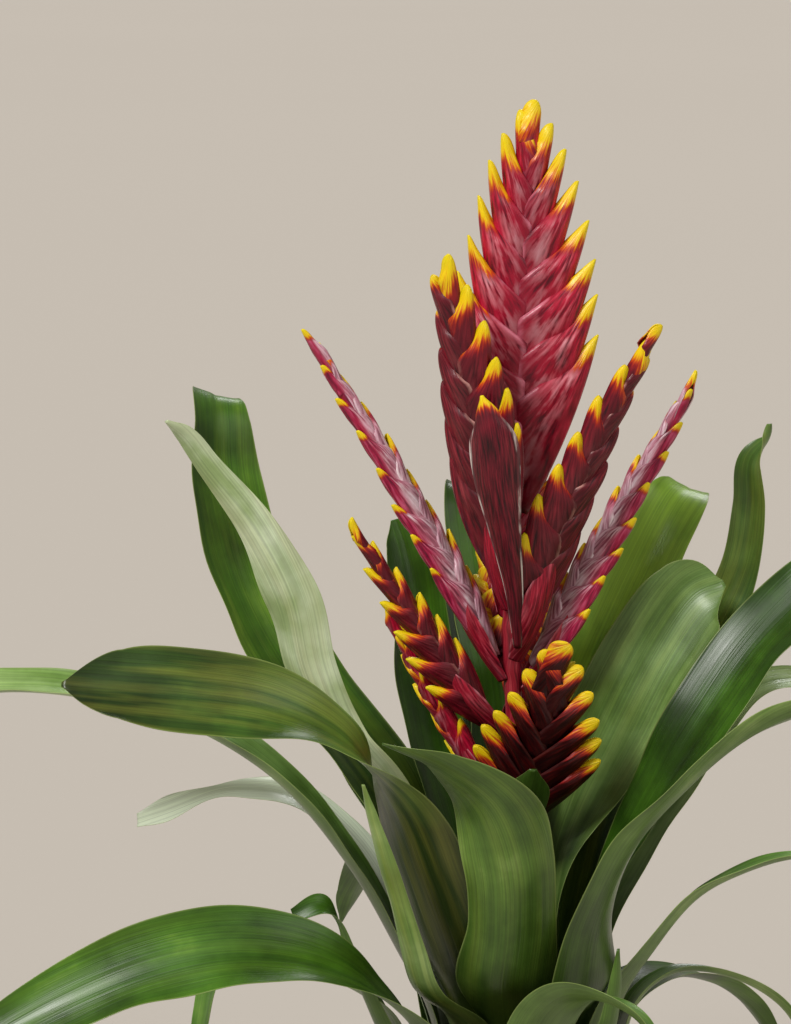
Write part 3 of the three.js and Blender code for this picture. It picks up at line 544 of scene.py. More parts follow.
# Each leaf from the innermost outward: its name, its azimuth in degrees, 1 where its greyer side shows
# most, and its stations along the midrib: x, y, z, width, roll in degrees and, if it isn't BLADE_CUP, its
# cup, which is half the angle of its arc section.
LEAVES = [
    ["leaf_back_upright", 98, 0.0, [
      [-3, 26, 215, 32, 0], [-3, 50, 280, 30, 0], [-11, 66, 322, 28, 0], [-15, 76, 351, 25, 0],
      [-17, 88, 368, 21, 0], [-17, 106, 366, 14, 0], [-16, 122, 352, 2, 0],
    ]],
    ["leaf_back_left_inner", 128, 0.0, [
      [-12, 25, 190, 30, 0], [-23, 42, 229, 34, 0], [-33, 55, 262, 34, 0], [-38, 65, 296, 32, 8],
      [-41, 72, 326, 27, 12], [-45, 77, 345, 20, 14], [-49, 81, 356, 5, 14],
    ]],
    ["leaf_back_left_slim", 110, 0.0, [
      [-11, 35, 192, 24, 0], [-13, 63, 239, 28, 0], [-18, 78, 276, 28, 0], [-22, 90, 310, 26, 0],
      [-25, 100, 334, 20, 0], [-26, 114, 338, 14, 0], [-26, 130, 328, 2, 0],
    ]],
    ["leaf_left_tall", 148, 0.0, [
      [-34, 22, 192, 34, 5], [-54, 38, 244, 42, 10], [-88, 58, 284, 42, 20], [-113, 72, 326, 40, 25],
      [-125, 80, 372, 36, 28], [-127, 87, 399, 29, 28, 24], [-129, 99, 409, 22, 25, 14],
      [-133, 116, 401, 3, 20, 10],
    ]],
    ["leaf_right_grey", 8, 1.0, [
      [20, 4, 210, 36, -10], [29, 8, 242, 40, -35], [45, 8, 277, 46, -52], [61, 10, 309, 44, -58],
      [77, 12, 333, 38, -60], [91, 13, 340, 3, -60],
    ]],
    ["leaf_right_back_broad", 55, 0.0, [
      [14, 31, 220, 30, 0], [27, 53, 264, 37, -8], [43, 68, 300, 40, -16], [60, 84, 333, 38, -20],
      [74, 96, 358, 30, -22, 24], [82, 108, 365, 22, -20, 16], [87, 122, 362, 3, -20, 10],
    ]],
    ["leaf_left_twisted", 200, 1.0, [
      [-50, -18, 252, 32, -10], [-72, -26, 282, 27, -25], [-85, -33, 312, 25, -45],
      [-92, -38, 344, 24, -60], [-107, -40, 374, 17, -62], [-125, -41, 398, 12, -55],
      [-134, -43, 411, 10, -40], [-142, -46, 418, 2, -30],
    ]],
    ["leaf_right_tall_curled", 24, 1.0, [
      [34, 18, 208, 28, -10], [46, 23, 249, 31, -30], [65, 29, 283, 28, -40], [86, 32, 313, 22, -45],
      [100, 35, 343, 18, -45], [104, 36, 369, 16, -40], [104, 34, 388, 15, -20], [110, 31, 399, 11, 40],
      [111, 30, 406, 3, 80],
    ]],
    ["leaf_front_left_broad", 238, 0.0, [
      [-24, -42, 190, 40, 0], [-37, -57, 231, 42, 0], [-49, -68, 264, 38, 15], [-70, -76, 292, 30, 60],
      [-99, -80, 307, 35, 92], [-131, -84, 313, 38, 98], [-159, -87, 316, 32, 96],
      [-182, -88, 318, 2, 95],
    ]],
    ["leaf_front_folded", 268, 0.0, [
      [-3, -54, 182, 44, 0], [-1, -66, 211, 38, 0], [-3, -79, 241, 39, 0], [-12, -90, 268, 41, 20],
      [-31, -99, 286, 28, 40], [-54, -106, 298, 2, 50],
    ]],
    ["leaf_right_glossy", 348, 0.0, [
      [38, -16, 208, 31, -10], [59, -24, 252, 37, -30], [80, -23, 288, 38, -45], [104, -16, 321, 36, -50],
      [132, -16, 349, 31, -50], [157, -16, 367, 22, -50], [180, -16, 378, 3, -50],
    ]],
    ["leaf_young_pointed", 236, 1.0, [
      [-36, -57, 180, 16, 0], [-43, -68, 204, 13, 0], [-51, -76, 235, 10, 0], [-58, -81, 260, 6, 0],
      [-62, -84, 276, 1.5, 0],
    ]],
    ["leaf_left_long_arching", 181, 0.0, [
      [-48, 0, 183, 36, 0], [-66, 6, 214, 34, 0, 38], [-91, 12, 246, 32, 5, 45],
      [-116, 16, 266, 30, 8, 50], [-141, 20, 278, 29, 10, 50], [-170, 24, 286, 28, 14, 44],
      [-200, 28, 291, 26, 22, 40], [-233, 30, 290, 21, 30, 35], [-259, 31, 284, 2, 30, 35],
    ]],
    ["leaf_left_curled_tip", 158, 1.0, [
      [-58, 36, 205, 30, 0], [-80, 48, 228, 24, 10], [-97, 54, 237, 19, 20], [-115, 60, 238, 13, 30],
      [-130, 64, 235, 9, 40], [-149, 67, 227, 16, 40], [-164, 70, 221, 8, 40],
    ]],
    ["leaf_right_front_broad", 315, 0.0, [
      [32, -49, 179, 40, 0], [36, -54, 211, 38, -15], [49, -56, 243, 36, -25], [72, -57, 270, 32, -30],
      [93, -60, 289, 25, -20], [115, -63, 301, 18, -5], [139, -65, 305, 11, 0], [158, -66, 301, 2, 0],
    ]],
    ["leaf_right_low_tip", 38, 0.0, [
      [42, 36, 190, 32, 0], [72, 50, 240, 28, -10], [100, 60, 276, 23, -10], [124, 67, 286, 20, 0],
      [147, 71, 278, 14, 0], [161, 73, 262, 2, 0],
    ]],
    ["leaf_back_arching", 88, 0.0, [
      [2, 62, 205, 38, 0], [3, 86, 244, 38, 0], [4, 116, 276, 36, 0], [5, 150, 294, 32, 0],
      [6, 186, 292, 24, 0], [7, 212, 274, 3, 0],
    ]],
    ["leaf_back_right_arching", 66, 0.0, [
      [26, 62, 196, 36, 0], [38, 90, 226, 36, 0], [52, 122, 246, 34, 0], [66, 152, 250, 28, 0],
      [78, 180, 238, 18, 0], [85, 196, 218, 3, 0],
    ]],
    ["leaf_back_left_arching", 128, 0.0, [
      [-36, 60, 196, 34, 0], [-56, 80, 232, 34, 0], [-76, 104, 256, 32, 0], [-98, 126, 262, 28, 0],
      [-116, 142, 256, 19, 0], [-128, 152, 245, 3, 0],
    ]],
    ["leaf_right_slim_arching", 328, 0.0, [
      [44, -28, 166, 26, 0], [59, -33, 192, 25, -8], [76, -39, 216, 22, -12], [96, -43, 229, 18, -12],
      [118, -46, 236, 13, -10], [141, -48, 234, 2, -8],
    ]],
    ["leaf_left_low_broad", 230, 0.0, [
      [-36, -58, 160, 34, 10], [-54, -70, 183, 30, 25], [-74, -76, 198, 32, 50], [-97, -79, 205, 35, 68],
      [-123, -82, 206, 38, 75], [-152, -86, 200, 36, 78], [-184, -90, 187, 30, 75],
      [-213, -93, 171, 21, 70], [-236, -95, 153, 3, 65],
    ]],
    ["leaf_right_small_pointed", 306, 1.0, [
      [38, -50, 158, 12, 0], [42, -56, 180, 8, 0], [43, -58, 200, 1.5, 0],
    ]],
    ["leaf_left_small_curled", 224, 1.0, [
      [-50, -50, 155, 16, 0], [-60, -55, 177, 11, 0], [-68, -57, 197, 9, 0], [-73, -57, 212, 8, 30],
      [-80, -59, 219, 10, 70], [-91, -61, 215, 6, 80],
    ]],
    ["leaf_right_drooping", 4, 0.0, [
      [54, 5, 156, 22, 0], [68, 10, 168, 19, 0], [84, 14, 169, 17, 0], [103, 17, 163, 15, 0],
      [119, 19, 152, 13, 0], [129, 20, 137, 9, 0], [135, 20, 120, 2, 0],
    ]],
    ["leaf_left_drooping", 196, 0.0, [
      [-54, -17, 160, 24, 0], [-80, -24, 180, 22, 10], [-106, -29, 189, 20, 15], [-123, -33, 183, 18, 15],
      [-129, -36, 163, 16, 15], [-131, -38, 139, 10, 15], [-131, -39, 122, 2, 15],
    ]],
    ["leaf_back_low_left", 112, 0.0, [
      [-24, 66, 158, 34, 0], [-36, 96, 182, 33, 0], [-48, 126, 190, 30, 0], [-60, 156, 180, 24, 0],
      [-70, 180, 158, 14, 0], [-75, 192, 140, 2, 0],
    ]],
    ["leaf_front_right_low", 282, 0.0, [
      [8, -58, 150, 32, 0], [14, -70, 173, 31, 0], [24, -82, 186, 29, 0], [37, -93, 188, 25, 0],
      [49, -102, 183, 19, 0], [56, -108, 172, 12, 0], [59, -111, 156, 2, 0],
    ]],
    ["leaf_back_low_right", 46, 0.0, [
      [50, 52, 144, 32, 0], [72, 75, 148, 30, 0], [96, 100, 138, 26, 0], [114, 120, 122, 20, 0],
      [126, 133, 104, 12, 0], [132, 140, 88, 2, 0],
    ]],
]

STEM_LEAF = [278, [
    [5.5, -7.5, 235, 12, 0, 50], [6, -20, 245, 17, 0, 40], [6, -34, 259, 20, 0], [8, -42, 272, 3, 0],
]]


def sheath_stations(azimuth, radius, first):
    """The wrapped sheath below a blade: two or three stations on the radius of the leaf's place in the
    rosette, as wide as that place and the blade allow."""
    blade_start, blade_width = first[2], first[3]
    width = min(10 + 0.7 * radius, 4 + 1.1 * blade_width)
    turn = math.radians(azimuth)

    def station(r, z):
        """A station whose arc section has the radius r, so that the sheath wraps the rosette's middle."""
        return [r * math.cos(turn), r * math.sin(turn), z, width, 0, math.degrees(width / 2 / r)]

    stations = [station(radius, SOIL_TOP + GAP), station(radius * 1.08 + 1, SOIL_TOP + 24)]
    if blade_start > HIGH_BLADE:
        stations.append(station(radius * 1.25 + 2, SOIL_TOP + 52))
    return stations


def turned_about(vectors, axes, angles):
    """Each vector turned about its own unit axis by its own angle, by Rodrigues' formula."""
    c, s = np.cos(angles)[:, None], np.sin(angles)[:, None]
    along = (vectors * axes).sum(-1, keepdims=True)
    return vectors * c + np.cross(axes, vectors) * s + axes * along * (1 - c)


def carried_side(azimuth, tangents):
    """The blade's side direction, carried along the midrib: at each step it loses what it has along the
    tangent and is made unit length, so that it never twists."""
    side = np.array([math.sin(math.radians(azimuth)), -math.cos(math.radians(azimuth)), 0])
    sides = []
    for tangent in tangents:
        side = unit(side - tangent * side.dot(tangent))
        sides.append(side)
    return np.array(sides)


def leaf_shell(azimuth, stations, looks, ripple=1.0, seed=0.0, columns=19):
    """A cupped blade: across an arc section of radius q, the point at angle f is the midrib plus q sin f
    along the side and q (1 - cos f) towards the upper face. A fold of half a millimetre marks the midrib,
    and waves grow with the square of the distance from it. looks holds how grey the blade is, its tone,
    how much the tone changes up to the tip, and how ochre it is. The ochre is painted light shining through
    the blade, and a tone that falls towards the tip also darkens the foot as painted shade."""
    stations = np.array([list(s) + [BLADE_CUP] * (6 - len(s)) for s in stations], float)
    per_segment = 12
    rows = (len(stations) - 1) * per_segment + 1
    t = np.linspace(0, 1, rows)
    midrib = smooth_curve(stations[:, :3], t)
    width, roll, cup = smooth_curve(stations[:, 3:], t).T
    tangents = unit(smooth_curve(stations[:, :3], t + 1e-4) - smooth_curve(stations[:, :3], t - 1e-4))
    rolled = turned_about(carried_side(azimuth, tangents), tangents, -np.radians(roll))
    upper = np.cross(rolled, tangents)
    # the last stretch narrows to its point in a rounded line
    last = np.clip((t * (len(stations) - 1) - (len(stations) - 2)), 0, 1)
    width = np.where(last > 0, np.maximum(width, stations[-2, 3] * (1 - last**1.5) ** 0.95), width)
    width = np.maximum(width, 0.8)
    cup = np.radians(np.maximum(cup, 4))
    arc = width / 2 / cup
    u = np.sin(np.linspace(-1, 1, columns) * math.pi / 2)[None]
    f = u * cup[:, None]
    normal = upper[:, None] * np.cos(f)[..., None] - rolled[:, None] * np.sin(f)[..., None]
    middle = (midrib[:, None] + rolled[:, None] * (arc[:, None] * np.sin(f))[..., None]
              + upper[:, None] * (arc[:, None] * (1 - np.cos(f)))[..., None])
    step = np.linalg.norm(np.diff(midrib, axis=0), axis=1)
    length = np.concatenate([[0], np.cumsum(step)])[:, None]
    free = np.clip((length - 95) / 60, 0, 1) * np.clip(width[:, None] / 20, 0, 1)
    wave = np.sin(length / 11 + seed + 1.6 * np.sign(u)) + 0.6 * np.sin(length / 6.3 + 2 * seed - np.sign(u))
    lift = ripple * free * wave * u**2 * 0.8 - 0.5 * np.exp(-((u * width[:, None] / 2 / 1.6) ** 2)) * free
    middle = middle + normal * lift[..., None]
    half = LEAF_THICKNESS / 2 * np.maximum(1 - u**2, 0.22) + 0 * length
    across = u * width[:, None] / 2
    # a leaf that darkens towards its tip is as dark near its foot: painted shade of the rosette's hollow
    painted_foot_shade = -min(looks[2], 0) * np.clip((0.62 - length / length[-1]) / 0.2, 0, 1)
    marks = dict(
        blade=np.stack(np.broadcast_arrays(across, length, 40.0 * seed + 11.0), -1),
        edge=np.abs(u) + 0 * length,
        rise=length / length[-1] + 0 * u,
        grey=np.full((1, 1), looks[0]),
        tone=looks[1] + looks[2] * (length / length[-1] - 0.5) - painted_foot_shade + 0 * u,
        ochre=np.full((1, 1), looks[3]),
    )
    return thin_shell(middle, half, marks, normal)


# How much pale bloom a leaf carries, how much lighter or darker it is than the others, how much that
# changes from its foot to its tip, and how ochre its streaks are, the ochre being painted light shining
# through the blade. A leaf that darkens towards its tip is as dark near its foot, as painted shade of the
# rosette's hollow. Most tones are the leaves' own, but leaf_left_curled_tip's full bloom and high tone
# are painted light shining through it from behind, and leaf_left_tall's lighter tone is partly painted
# light where it stands lit.
LEAF_LOOKS = {
    "leaf_left_tall": (0.0, 0.3, -0.5, 0.1), "leaf_left_twisted": (0.8, 0.5, 0.0, 0.3),
    "leaf_front_left_broad": (0.1, 0.25, -1.0, 0.3), "leaf_left_long_arching": (0.25, 0.2, 0.8, 0.0),
    "leaf_left_curled_tip": (1.0, 1.0, 0.6, 0.0), "leaf_left_low_broad": (0.0, 0.12, 0.0, 0.05),
    "leaf_right_back_broad": (0.0, 0.55, 0.2, 0.0), "leaf_right_grey": (0.4, 0.1, 0.1, 0.1),
    "leaf_right_tall_curled": (0.2, 0.0, 0.25, 0.3), "leaf_right_glossy": (0.0, -0.05, 0.1, 0.0),
    "leaf_right_front_broad": (0.1, 0.1, 0.4, 0.0), "leaf_front_folded": (0.0, 0.2, -0.25, 0.1),
    "leaf_young_pointed": (0.2, 0.3, 0.0, 0.4), "leaf_right_slim_arching": (0.15, 0.2, 0.2, 0.0),
    "leaf_right_drooping": (0.1, 0.3, 0.2, 0.0), "leaf_front_right_low": (0.15, 0.15, 0.0, 0.0),
    "leaf_left_drooping": (0.1, 0.2, 0.1, 0.0), "leaf_right_low_tip": (0.3, 0.5, 0.4, 0.0),
}


def make_leaves():
    """Each leaf's blade goes on from its wrapped sheath, and each leaf stands further out in the rosette
    than the one before it. The small leaf on the stem comes last."""
    for order, (name, azimuth, underside, stations) in enumerate(LEAVES):
        sheath = sheath_stations(azimuth, SHEATH_START + SHEATH_STEP * order, stations[0])
        # a leaf without looks of its own is a little lighter or darker than its neighbours
        looks = LEAF_LOOKS.get(name, (0.0, 0.05 * math.sin(2.4 * order), 0.1, 0.0))
        shell = leaf_shell(azimuth, sheath + stations, looks, 1.0, 1.7 * order)
        make_piece(name + "_blade", [shell], LEAF, [name])
    shell = leaf_shell(*STEM_LEAF, (0.0, -0.1, 0.0, 0.0), 0.3, 5.1)
    make_piece("stem_leaf_blade", [shell], LEAF, ["stem_leaf"])


# ---------------------------------------------------------------- flower spikes


def spike_frame(spike):
    """A spike's axis is a curve from root to tip, pushed aside by bow at its middle, and face is the
    direction that its flat side looks. Turns lateral, along (0 to 1) and depth into points."""
    root, tip = np.array(spike["root"], float), np.array(spike["tip"], float)
    middle = (root + tip) / 2 + np.array(spike.get("bow", (0, 0, 0)), float)
    look = np.array(spike["face"], float)

    def place(lateral, along, depth):
        """The axis at this share of its length, plus lateral to the right and depth to the front."""
        w = np.asarray(along)[..., None]
        axis = (1 - w) ** 2 * root + 2 * w * (1 - w) * middle + w**2 * tip
        v = np.clip(w, 0, 1)
        tangent = unit(2 * (1 - v) * (middle - root) + 2 * v * (tip - middle))
        front = unit(look - tangent * (tangent * look).sum(-1, keepdims=True))
        right = np.cross(tangent, front)
        return axis + right * np.asarray(lateral)[..., None] + front * np.asarray(depth)[..., None]

    return place


def bract_shell(spike, k, rows=24, columns=21):
    """One folded bract, k counting up from the lowest. Its keel is a curve from its foot on the axis out
    to its point. From the keel each flank runs inward, square to it: up to the opening, the flank reaches
    past the spike's middle line, and from there it narrows to a rounded point. A flank rises from the keel
    as a quarter of an oval with a cushion on it, and a lower bract's flanks lie outside those of the bracts
    above it. Towards the point the section becomes half an oval, which brings the two lips together. Sines
    vary the reach, the height, the margin's ruffle and the bend of one bract from the next."""
    place = spike_frame(spike)
    count, half_width = spike["count"], spike["half_width"]
    tip_width = spike.get("tip_width", half_width * 0.12)
    length = np.linalg.norm(np.array(spike["tip"]) - np.array(spike["root"]))
    rank = k % 2
    sign = 1 if rank else -1
    q = k / (count - 1)
    lowest_foot, feet_span = spike.get("feet", (0.0, 0.8))
    foot = lowest_foot + feet_span * q
    point = 1 - (1 - spike["lowest_point"]) * (1 - q) ** spike.get("crowding", 1)
    reach = (half_width - tip_width) * (1 - q**1.6) + tip_width
    lean = spike.get("lean", (1, 1))[rank]
    reach = reach * (1 + 0.04 * math.sin(3.7 * k + 1))
    point = point + 0.006 * math.sin(7.1 * k)
    base = spike.get("base", 3.5)
    bulge = spike.get("bulge", 1.5) + 1.6 * (1 - lean)
    opening = spike.get("opening", 0.55)
    a = (1 - (1 - np.linspace(0, 0.992, rows)) ** 1.35)[:, None]
    b = np.linspace(-1, 1, columns)[None]

    def keel(t):
        """Outwards, the base fades with a cube, the bulge is greatest halfway and the reach grows with a
        square. Along the axis it is a curve from the foot by way of a middle height to the point. out and
        up are how fast the two change."""
        middle = foot + spike.get("rise", 0.42) * (point - foot)
        lateral = base * (1 - t) ** 3 + bulge * t * (1 - t) * reach + t**2 * reach * lean
        along = ((1 - t) ** 2 * foot + 2 * t * (1 - t) * middle + t**2 * point) * length
        out = -3 * base * (1 - t) ** 2 + bulge * (1 - 2 * t) * reach + 2 * t * reach * lean
        up = (-2 * (1 - t) * foot + 2 * (1 - 2 * t) * middle + 2 * t * point) * length
        return lateral, along, out, up

    def crossing(t):
        """The run, square to the keel, that passes the middle line by the overlap: the distance to cover
        divided by the cosine of the keel's lean."""
        lateral, _, out, up = keel(t)
        return (lateral + spike.get("overlap", 2.0)) * np.hypot(out, up) / np.maximum(up, 1e-6)

    lateral, along, out, up = keel(a)
    speed = np.hypot(out, up)
    left = np.clip((1 - a) / (1 - opening), 0, 1)
    narrowing = crossing(opening) * left ** spike.get("taper", (1, 1))[rank]
    finger = spike.get("finger", 1.6) * (1 + spike.get("top_finger", 0.0) * q**3)
    round_end = finger * np.sqrt(np.clip(1 - (1 - np.clip((1 - a) / 0.16, 0, 1)) ** 2, 0, 1))
    flank = np.where(a < opening, crossing(a), (narrowing**3 + round_end**3) ** (1 / 3))
    # a tongue is rounded off on its keel side as well, so that its end is a half round
    tongue = spike.get("tongue", 0.0) + spike.get("top_tongue", 0.0) * q**5
    tongue_end = np.clip((a - 0.84) / 0.16, 0, 1)
    inset = tongue * 0.5 * finger * (1 - np.sqrt(np.clip(1 - tongue_end**2, 0, 1)))
    across = flank * (1 - np.cos(np.abs(b) * math.pi / 2)) + inset
    x = lateral - up / speed * across
    y = along + out / speed * across
    closing = np.sqrt(np.clip(1 - (np.clip(a - 0.6, 0, 1) / 0.4) ** 2, 0.02, 1))
    swell = spike.get("swell", 3.5) * (1 - 0.75 * np.clip(x / max(half_width, reach), 0, 1) ** 2)
    swell = swell * closing * np.clip(0.35 + 0.65 * reach / half_width, 0.4, 1)
    shut = np.clip((a - 0.66) / 0.2, 0, 1)
    lips = shut**2 * (3 - 2 * shut)
    rise = (1 - lips) * np.sin(np.abs(b) * math.pi / 2) + lips * np.sin(np.abs(b) * math.pi * 0.94)
    cushion = spike.get("cushion", 0.9) * np.sin(math.pi * np.abs(b) ** 2) * closing * (1 - 0.5 * lips)
    above_foot = np.maximum(y - foot * length, 0)
    tuck = spike.get("tuck", 0.05) * above_foot * np.sin(np.clip(np.abs(b) * 1.3, 0, 1) * math.pi / 2)
    ruffle = 0.35 * np.sin(9 * a + 2.3 * k) * b**6
    bend = 1.4 * math.sin(5.3 * k) * a**3
    depth = np.sign(b) * (swell * rise + cushion + tuck * closing**0.5 * (1 - 0.8 * lips) + ruffle) + bend
    middle = place(sign * x, y / length, depth)
    # the streaks fan out from the point, from the keel over to the margin
    aside, below = reach * lean - x, point * length - y
    from_tip = np.hypot(aside, below)
    fan = 16 * np.arctan2(aside, below + 1.5) * np.sign(b)
    yellow = spike.get("yellow", (8.0, 8.0))[rank] + spike.get("top_yellow", 0.0) * q**4
    fibre = 13.0 * k + 31.0
    marks = dict(
        blade=np.stack(np.broadcast_arrays(fan, from_tip, fibre), -1),
        ripe=1 - from_tip / (yellow * (1 + spike.get("margin", 0.9) * np.abs(b) ** 2)),
        edge=np.abs(b) + 0 * a,
        inner=1 - np.clip(x / reach, 0, 1),
    )
    if sign < 0:
        middle = middle[:, ::-1]
        marks = {key: value[:, ::-1] for key, value in marks.items()}
    return thin_shell(middle, np.full(middle.shape[:2], BRACT_THICKNESS / 2), marks)


def sheath_shell(azimuth, stations, yellow, seed):
    """A boat-shaped scale that wraps a spike's foot: a strongly cupped blade that ripens at its point."""
    shell = leaf_shell(azimuth, stations, (0.0, 0.0, 0.0, 0.0), 0.0, seed, 25)
    marks = shell["marks"]
    from_tip = (1 - marks["rise"]) * marks["blade"][:, 1].max()
    marks["ripe"] = 1 - from_tip / (yellow * (1 + 0.6 * marks["edge"] ** 2))
    marks["inner"] = 0.5 * (1 - marks["rise"])
    return shell


def foot_sheath(spike, seed):
    """The sheath at a spike's foot: a broad boat that hugs the first few centimetres of the axis on the
    side away from the stem."""
    place = spike_frame(spike)
    root, tip = np.array(spike["root"], float), np.array(spike["tip"], float)
    outward = tip - root
    length = np.linalg.norm(outward)
    azimuth = math.atan2(outward[1], outward[0])
    size = np.clip(spike["half_width"] / 14, 0.6, 1.2)
    away = np.array([math.cos(azimuth), math.sin(azimuth), -0.6]) * 4.5 * size
    stations = []
    for w, width, push in ((-0.25, 14, 0.3), (0.05, 23, 0.8), (0.35, 27, 1.05), (0.6, 23, 1.05),
                           (0.82, 14, 0.9), (1.0, 2, 0.7)):
        x, y, z = place(0.0, w * FOOT_SHEATH_REACH / length, 0.0) + away * push
        stations.append([x, y, z, width * size, 0, 85])
    return sheath_shell(math.degrees(azimuth), stations, 1.5, seed)


def stalk(spike):
    """The bare foot of a spike's axis, from inside the stem up into its lowest bracts."""
    place = spike_frame(spike)
    w = np.linspace(-0.04, 0.7, 30)
    path = place(0 * w, w, 0 * w)
    return tube(path, STALK_RADIUS * (1 - 0.5 * np.clip(w, 0, 1)), 12, 77.0)


# Each spike, in millimetres and shares of its length. Pairs give the left rank and the right rank.
#   root, tip, bow and face: the axis's ends, how far its middle is pushed aside, where its flat side looks
#   count, feet: how many bracts, and the lowest foot and the span of the feet as shares of the axis
#   lowest_point, crowding: the lowest point's height as a share; over 1 gathers the points near the tip
#   half_width, tip_width: how far the lowest point and the topmost one reach from the axis
#   lean: under 1 lays the points in along the spike
#   base, bulge, rise: how far the keel's foot stands off the axis, how much the keel bows outwards, and
#     how high it goes before it turns to its point
#   overlap, opening, taper: how far a flank reaches past the middle line, where it starts to narrow, and
#     how soon: under 1 it stays broad for longer
#   finger, tongue: the width of the rounded point, and how far it is rounded on the keel side as well
#   swell, cushion, tuck: how far a flank stands out, its cushion, and how much further out it lies for
#     each millimetre above its foot
#   yellow, margin: how long the yellow point is, and how much further it runs along the margins
#   top_finger: how much broader, as a share, the points get towards the spike's tip
#   top_tongue, top_yellow: what is added to tongue and yellow towards the spike's tip
TOP_SPIKE = dict(
    root=[1, 1, 362], tip=[8, 9, 545], bow=[-1, 0, 0], face=[0, -1, 0.05],
    count=16, half_width=34, lowest_point=0.42, tip_width=4, crowding=1.25,
    swell=4.4, tuck=0.07, cushion=1.3, taper=(1.1, 0.9), lean=(0.93, 1), yellow=(9.0, 9.0), finger=2.6,
    top_finger=2.0, top_tongue=0.8, base=5.0,
)

SPIKES = {
    "spike_upper_left": (MAROON, dict(
        root=[-3, -10, 344], tip=[-31, -28, 483], bow=[4, -8, 4], face=[-0.4, -0.9, 0.1],
        count=12, half_width=21, lowest_point=0.42, tip_width=7, yellow=(0.5, 6.0), top_yellow=5.0,
        taper=(1, 0.8), lean=(0.7, 0.9), finger=5.0, opening=0.6, tongue=0.6,
    )),
    "spike_upper_right": (MAROON, dict(
        root=[5, -9, 322], tip=[61, -22, 455], bow=[-12, -8, 7], face=[0.5, -0.87, 0],
        count=14, half_width=18, lowest_point=0.3, yellow=(5.5, 0.8), taper=(0.8, 1), lean=(0.85, 0.7),
        finger=5.2, opening=0.6, tongue=0.6, top_yellow=4.0,
    )),
    "spike_far_right": (VEINED, dict(
        root=[10, 1, 305], tip=[79, 10, 431], bow=[0, 0, 0], face=[0.8, 0.6, -0.3],
        count=16, half_width=14, lowest_point=0.24, yellow=(3.5, 4.5), lean=(0.82, 0.82), finger=2.0,
        opening=0.6,
    )),
    "spike_left": (VEINED, dict(
        root=[-8, 0, 310], tip=[-88, -5, 451], bow=[5, 0, 4], face=[-0.72, 0.66, -0.3],
        count=16, half_width=12, lowest_point=0.24, yellow=(5.0, 3.5), lean=(0.9, 0.85), finger=2.2,
        opening=0.6,
    )),
    "spike_lower_left": (MAROON, dict(
        root=[-8, -5, 283], tip=[-68, -30, 375], bow=[-2, -2, -4], face=[0.25, -0.95, 0.2],
        count=12, half_width=13, lowest_point=0.3, yellow=(5.0, 5.0), lean=(0.95, 0.85), finger=3.4,
        opening=0.6,
    )),
    "spike_lowest_left": (CRIMSON, dict(
        root=[-8, -2, 254], tip=[-53, -7, 334], bow=[-3, 0, -3], face=[-0.75, -0.6, 0],
        count=10, half_width=9, lowest_point=0.3, yellow=(6.0, 4.0), lean=(0.95, 0.85), finger=2.8,
        opening=0.6,
    )),
    "spike_front_low": (DUSKY, dict(
        root=[6, -10, 246], tip=[19, -40, 325], bow=[1, -7, -4], face=[0, -0.9, 0.3],
        count=12, half_width=30, lowest_point=0.34, tip_width=7, yellow=(3.6, 3.6), finger=4.6, opening=0.16,
        taper=(0.4, 0.4), cushion=0.6, swell=2.4, top_finger=1.2, tongue=0.8, overlap=4.5, bulge=0.95,
        rise=0.5, base=1.0, margin=2.4, feet=(-0.2, 0.88), lean=(0.94, 0.94),
    )),
    "spike_back_left": (MAROON, dict(
        root=[-4, 8, 312], tip=[-13, 32, 366], bow=[-1, 3, -3], face=[0.6, 0.8, 0],
        count=8, half_width=9, lowest_point=0.3, yellow=(8.0, 8.0), finger=3.0,
    )),
    "spike_back_upper": (CRIMSON, dict(
        root=[1, 9, 335], tip=[10, 52, 442], bow=[1, 7, -5], face=[0.2, 0.95, 0.1],
        count=12, half_width=17, lowest_point=0.38, finger=2.6,
    )),
    "spike_back_low": (MAROON, dict(
        root=[5, 9, 268], tip=[20, 56, 345], bow=[1, 8, -5], face=[0.1, 0.9, 0.4],
        count=10, half_width=17, lowest_point=0.34, finger=2.8,
    )),
}

# The closed bud in front of the stem: one boat-shaped bract, its keel towards the front.
BUD_STATIONS = [
    [2, -17, 318, 4, 0, 60], [0, -24, 342, 9, 0, 58], [-4, -33, 366, 15, 0, 54], [-8, -41, 390, 22, 0, 50],
    [-10, -45, 408, 23, 0, 50], [-12, -45, 419, 13, 0, 60], [-14, -43, 428, 1.5, 0, 70],
]


def make_spikes():
    """The top spike is one piece for each bract. Each other spike is one piece of bracts on a stalk, and
    all but the low one in front have a sheath at the foot. The closed bud is a single scale."""
    for k in range(TOP_SPIKE["count"]):
        label = f"{k + 1:02d}"
        shell = bract_shell(TOP_SPIKE, k, 44, 37)
        make_piece(f"top_bract_{label}", [shell], CRIMSON, [f"top_spike_bract_{label}"])
    for seed, (name, (material, spike)) in enumerate(SPIKES.items()):
        shells = [bract_shell(spike, k) for k in range(spike["count"])]
        make_piece(name + "_bracts", shells + [stalk(spike)], material, [name])
        if name != "spike_front_low":
            make_piece(name + "_sheath", [foot_sheath(spike, 3.0 * seed)], SHEATH)
    bud = sheath_shell(258, BUD_STATIONS, 5.0, 9.0)
    make_piece("closed_bud_bract", [bud], BUD, ["spike_front_bud"])


# ---------------------------------------------------------------- assembly, stage and camera


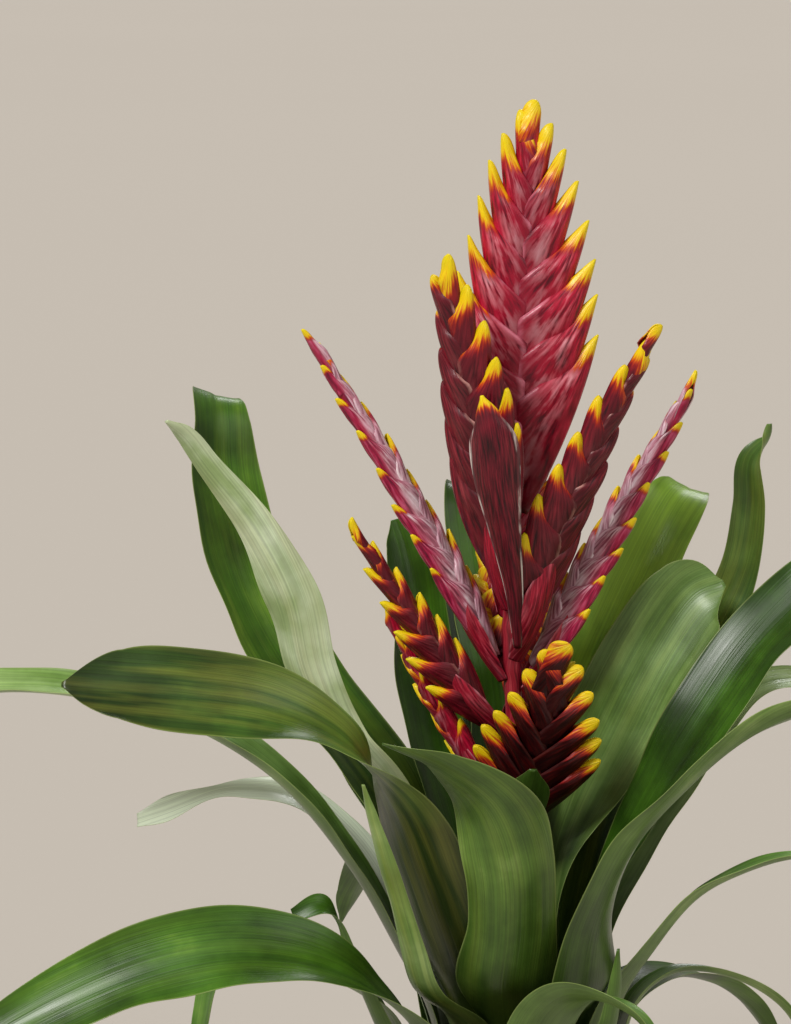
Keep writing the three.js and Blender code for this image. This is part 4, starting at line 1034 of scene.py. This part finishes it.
def make_stage():
    """A disc of paper 80 m wide, made of rings of points, three sun lamps with soft edges, and warm air."""
    sides = 96
    r = np.concatenate([[200.0], np.linspace(1000.0, 40000.0, 12)])
    angle = np.linspace(0, 2 * math.pi, sides, endpoint=False)
    flat = r[:, None, None] * np.stack([np.cos(angle), np.sin(angle), 0 * angle], -1)[None]
    j = np.arange(sides)
    mesh = bpy.data.meshes.new("studio_floor")
    points = np.concatenate([flat.reshape(-1, 3), [[0, 0, 0]]]) * MM
    faces = ring_faces(len(r), sides)[:, ::-1].tolist()
    middle = np.stack([j, (j + 1) % sides, np.full(sides, len(r) * sides)], -1).tolist()
    mesh.from_pydata(points.tolist(), [], faces + middle)
    floor = bpy.data.objects.new("studio_floor", mesh)
    bpy.context.scene.collection.objects.link(floor)
    mesh.materials.append(studio_paper())

    def sun(name, strength, spread, tilt, colour):
        """A sun lamp that shines from a patch of sky spread degrees wide, tilted by three angles."""
        lamp = bpy.data.lights.new(name, "SUN")
        lamp.energy = strength
        lamp.angle = math.radians(spread)
        lamp.color = linear(colour)[:3]
        holder = bpy.data.objects.new(name, lamp)
        holder.rotation_euler = [math.radians(v) for v in tilt]
        bpy.context.scene.collection.objects.link(holder)

    sun("key_softbox", 2.6, 16, (46, 0, -40), 0xFFFDFA)
    sun("fill_softbox", 0.6, 40, (56, 0, 52), 0xFFFAF6)
    sun("back_softbox", 0.7, 18, (-46, 0, -14), 0xFFFFFF)
    world = bpy.data.worlds.new("studio_air")
    world.use_nodes = True
    # the air is as bright as the paper where it is seen, and lights the plant more gently
    seen = add(world.node_tree, "ShaderNodeLightPath", output="Is Camera Ray")
    level = add(world.node_tree, "ShaderNodeMapRange", {0: seen, 1: 0.0, 2: 1.0, 3: 0.42, 4: 1.0})
    air = world.node_tree.nodes["Background"]
    air.inputs["Color"].default_value = linear(0xCAC2B7)
    world.node_tree.links.new(level, air.inputs["Strength"])
    bpy.context.scene.world = world
    bpy.context.scene.view_settings.view_transform = "Standard"


def make_camera():
    """A long lens 1.5 m away, looking down 9.5 degrees at a point 49 mm left of the stem."""
    distance, elevation = 1500.0, math.radians(9.5)
    aim = np.array([-48.9, 0.0, 372.9])
    away = np.array([0.0, -math.cos(elevation), math.sin(elevation)])
    lens = bpy.data.cameras.new("camera")
    lens.lens = 125.5
    lens.sensor_width = 36.0
    lens.clip_end = 200.0
    camera = bpy.data.objects.new("camera", lens)
    camera.location = (aim + away * distance) * MM
    camera.rotation_euler = (math.radians(90) - elevation, 0.0, 0.0)
    bpy.context.scene.collection.objects.link(camera)
    bpy.context.scene.camera = camera


make_pot()
make_potting_mix()
make_chips()
make_stem()
make_leaves()
make_spikes()
make_stage()
make_camera()
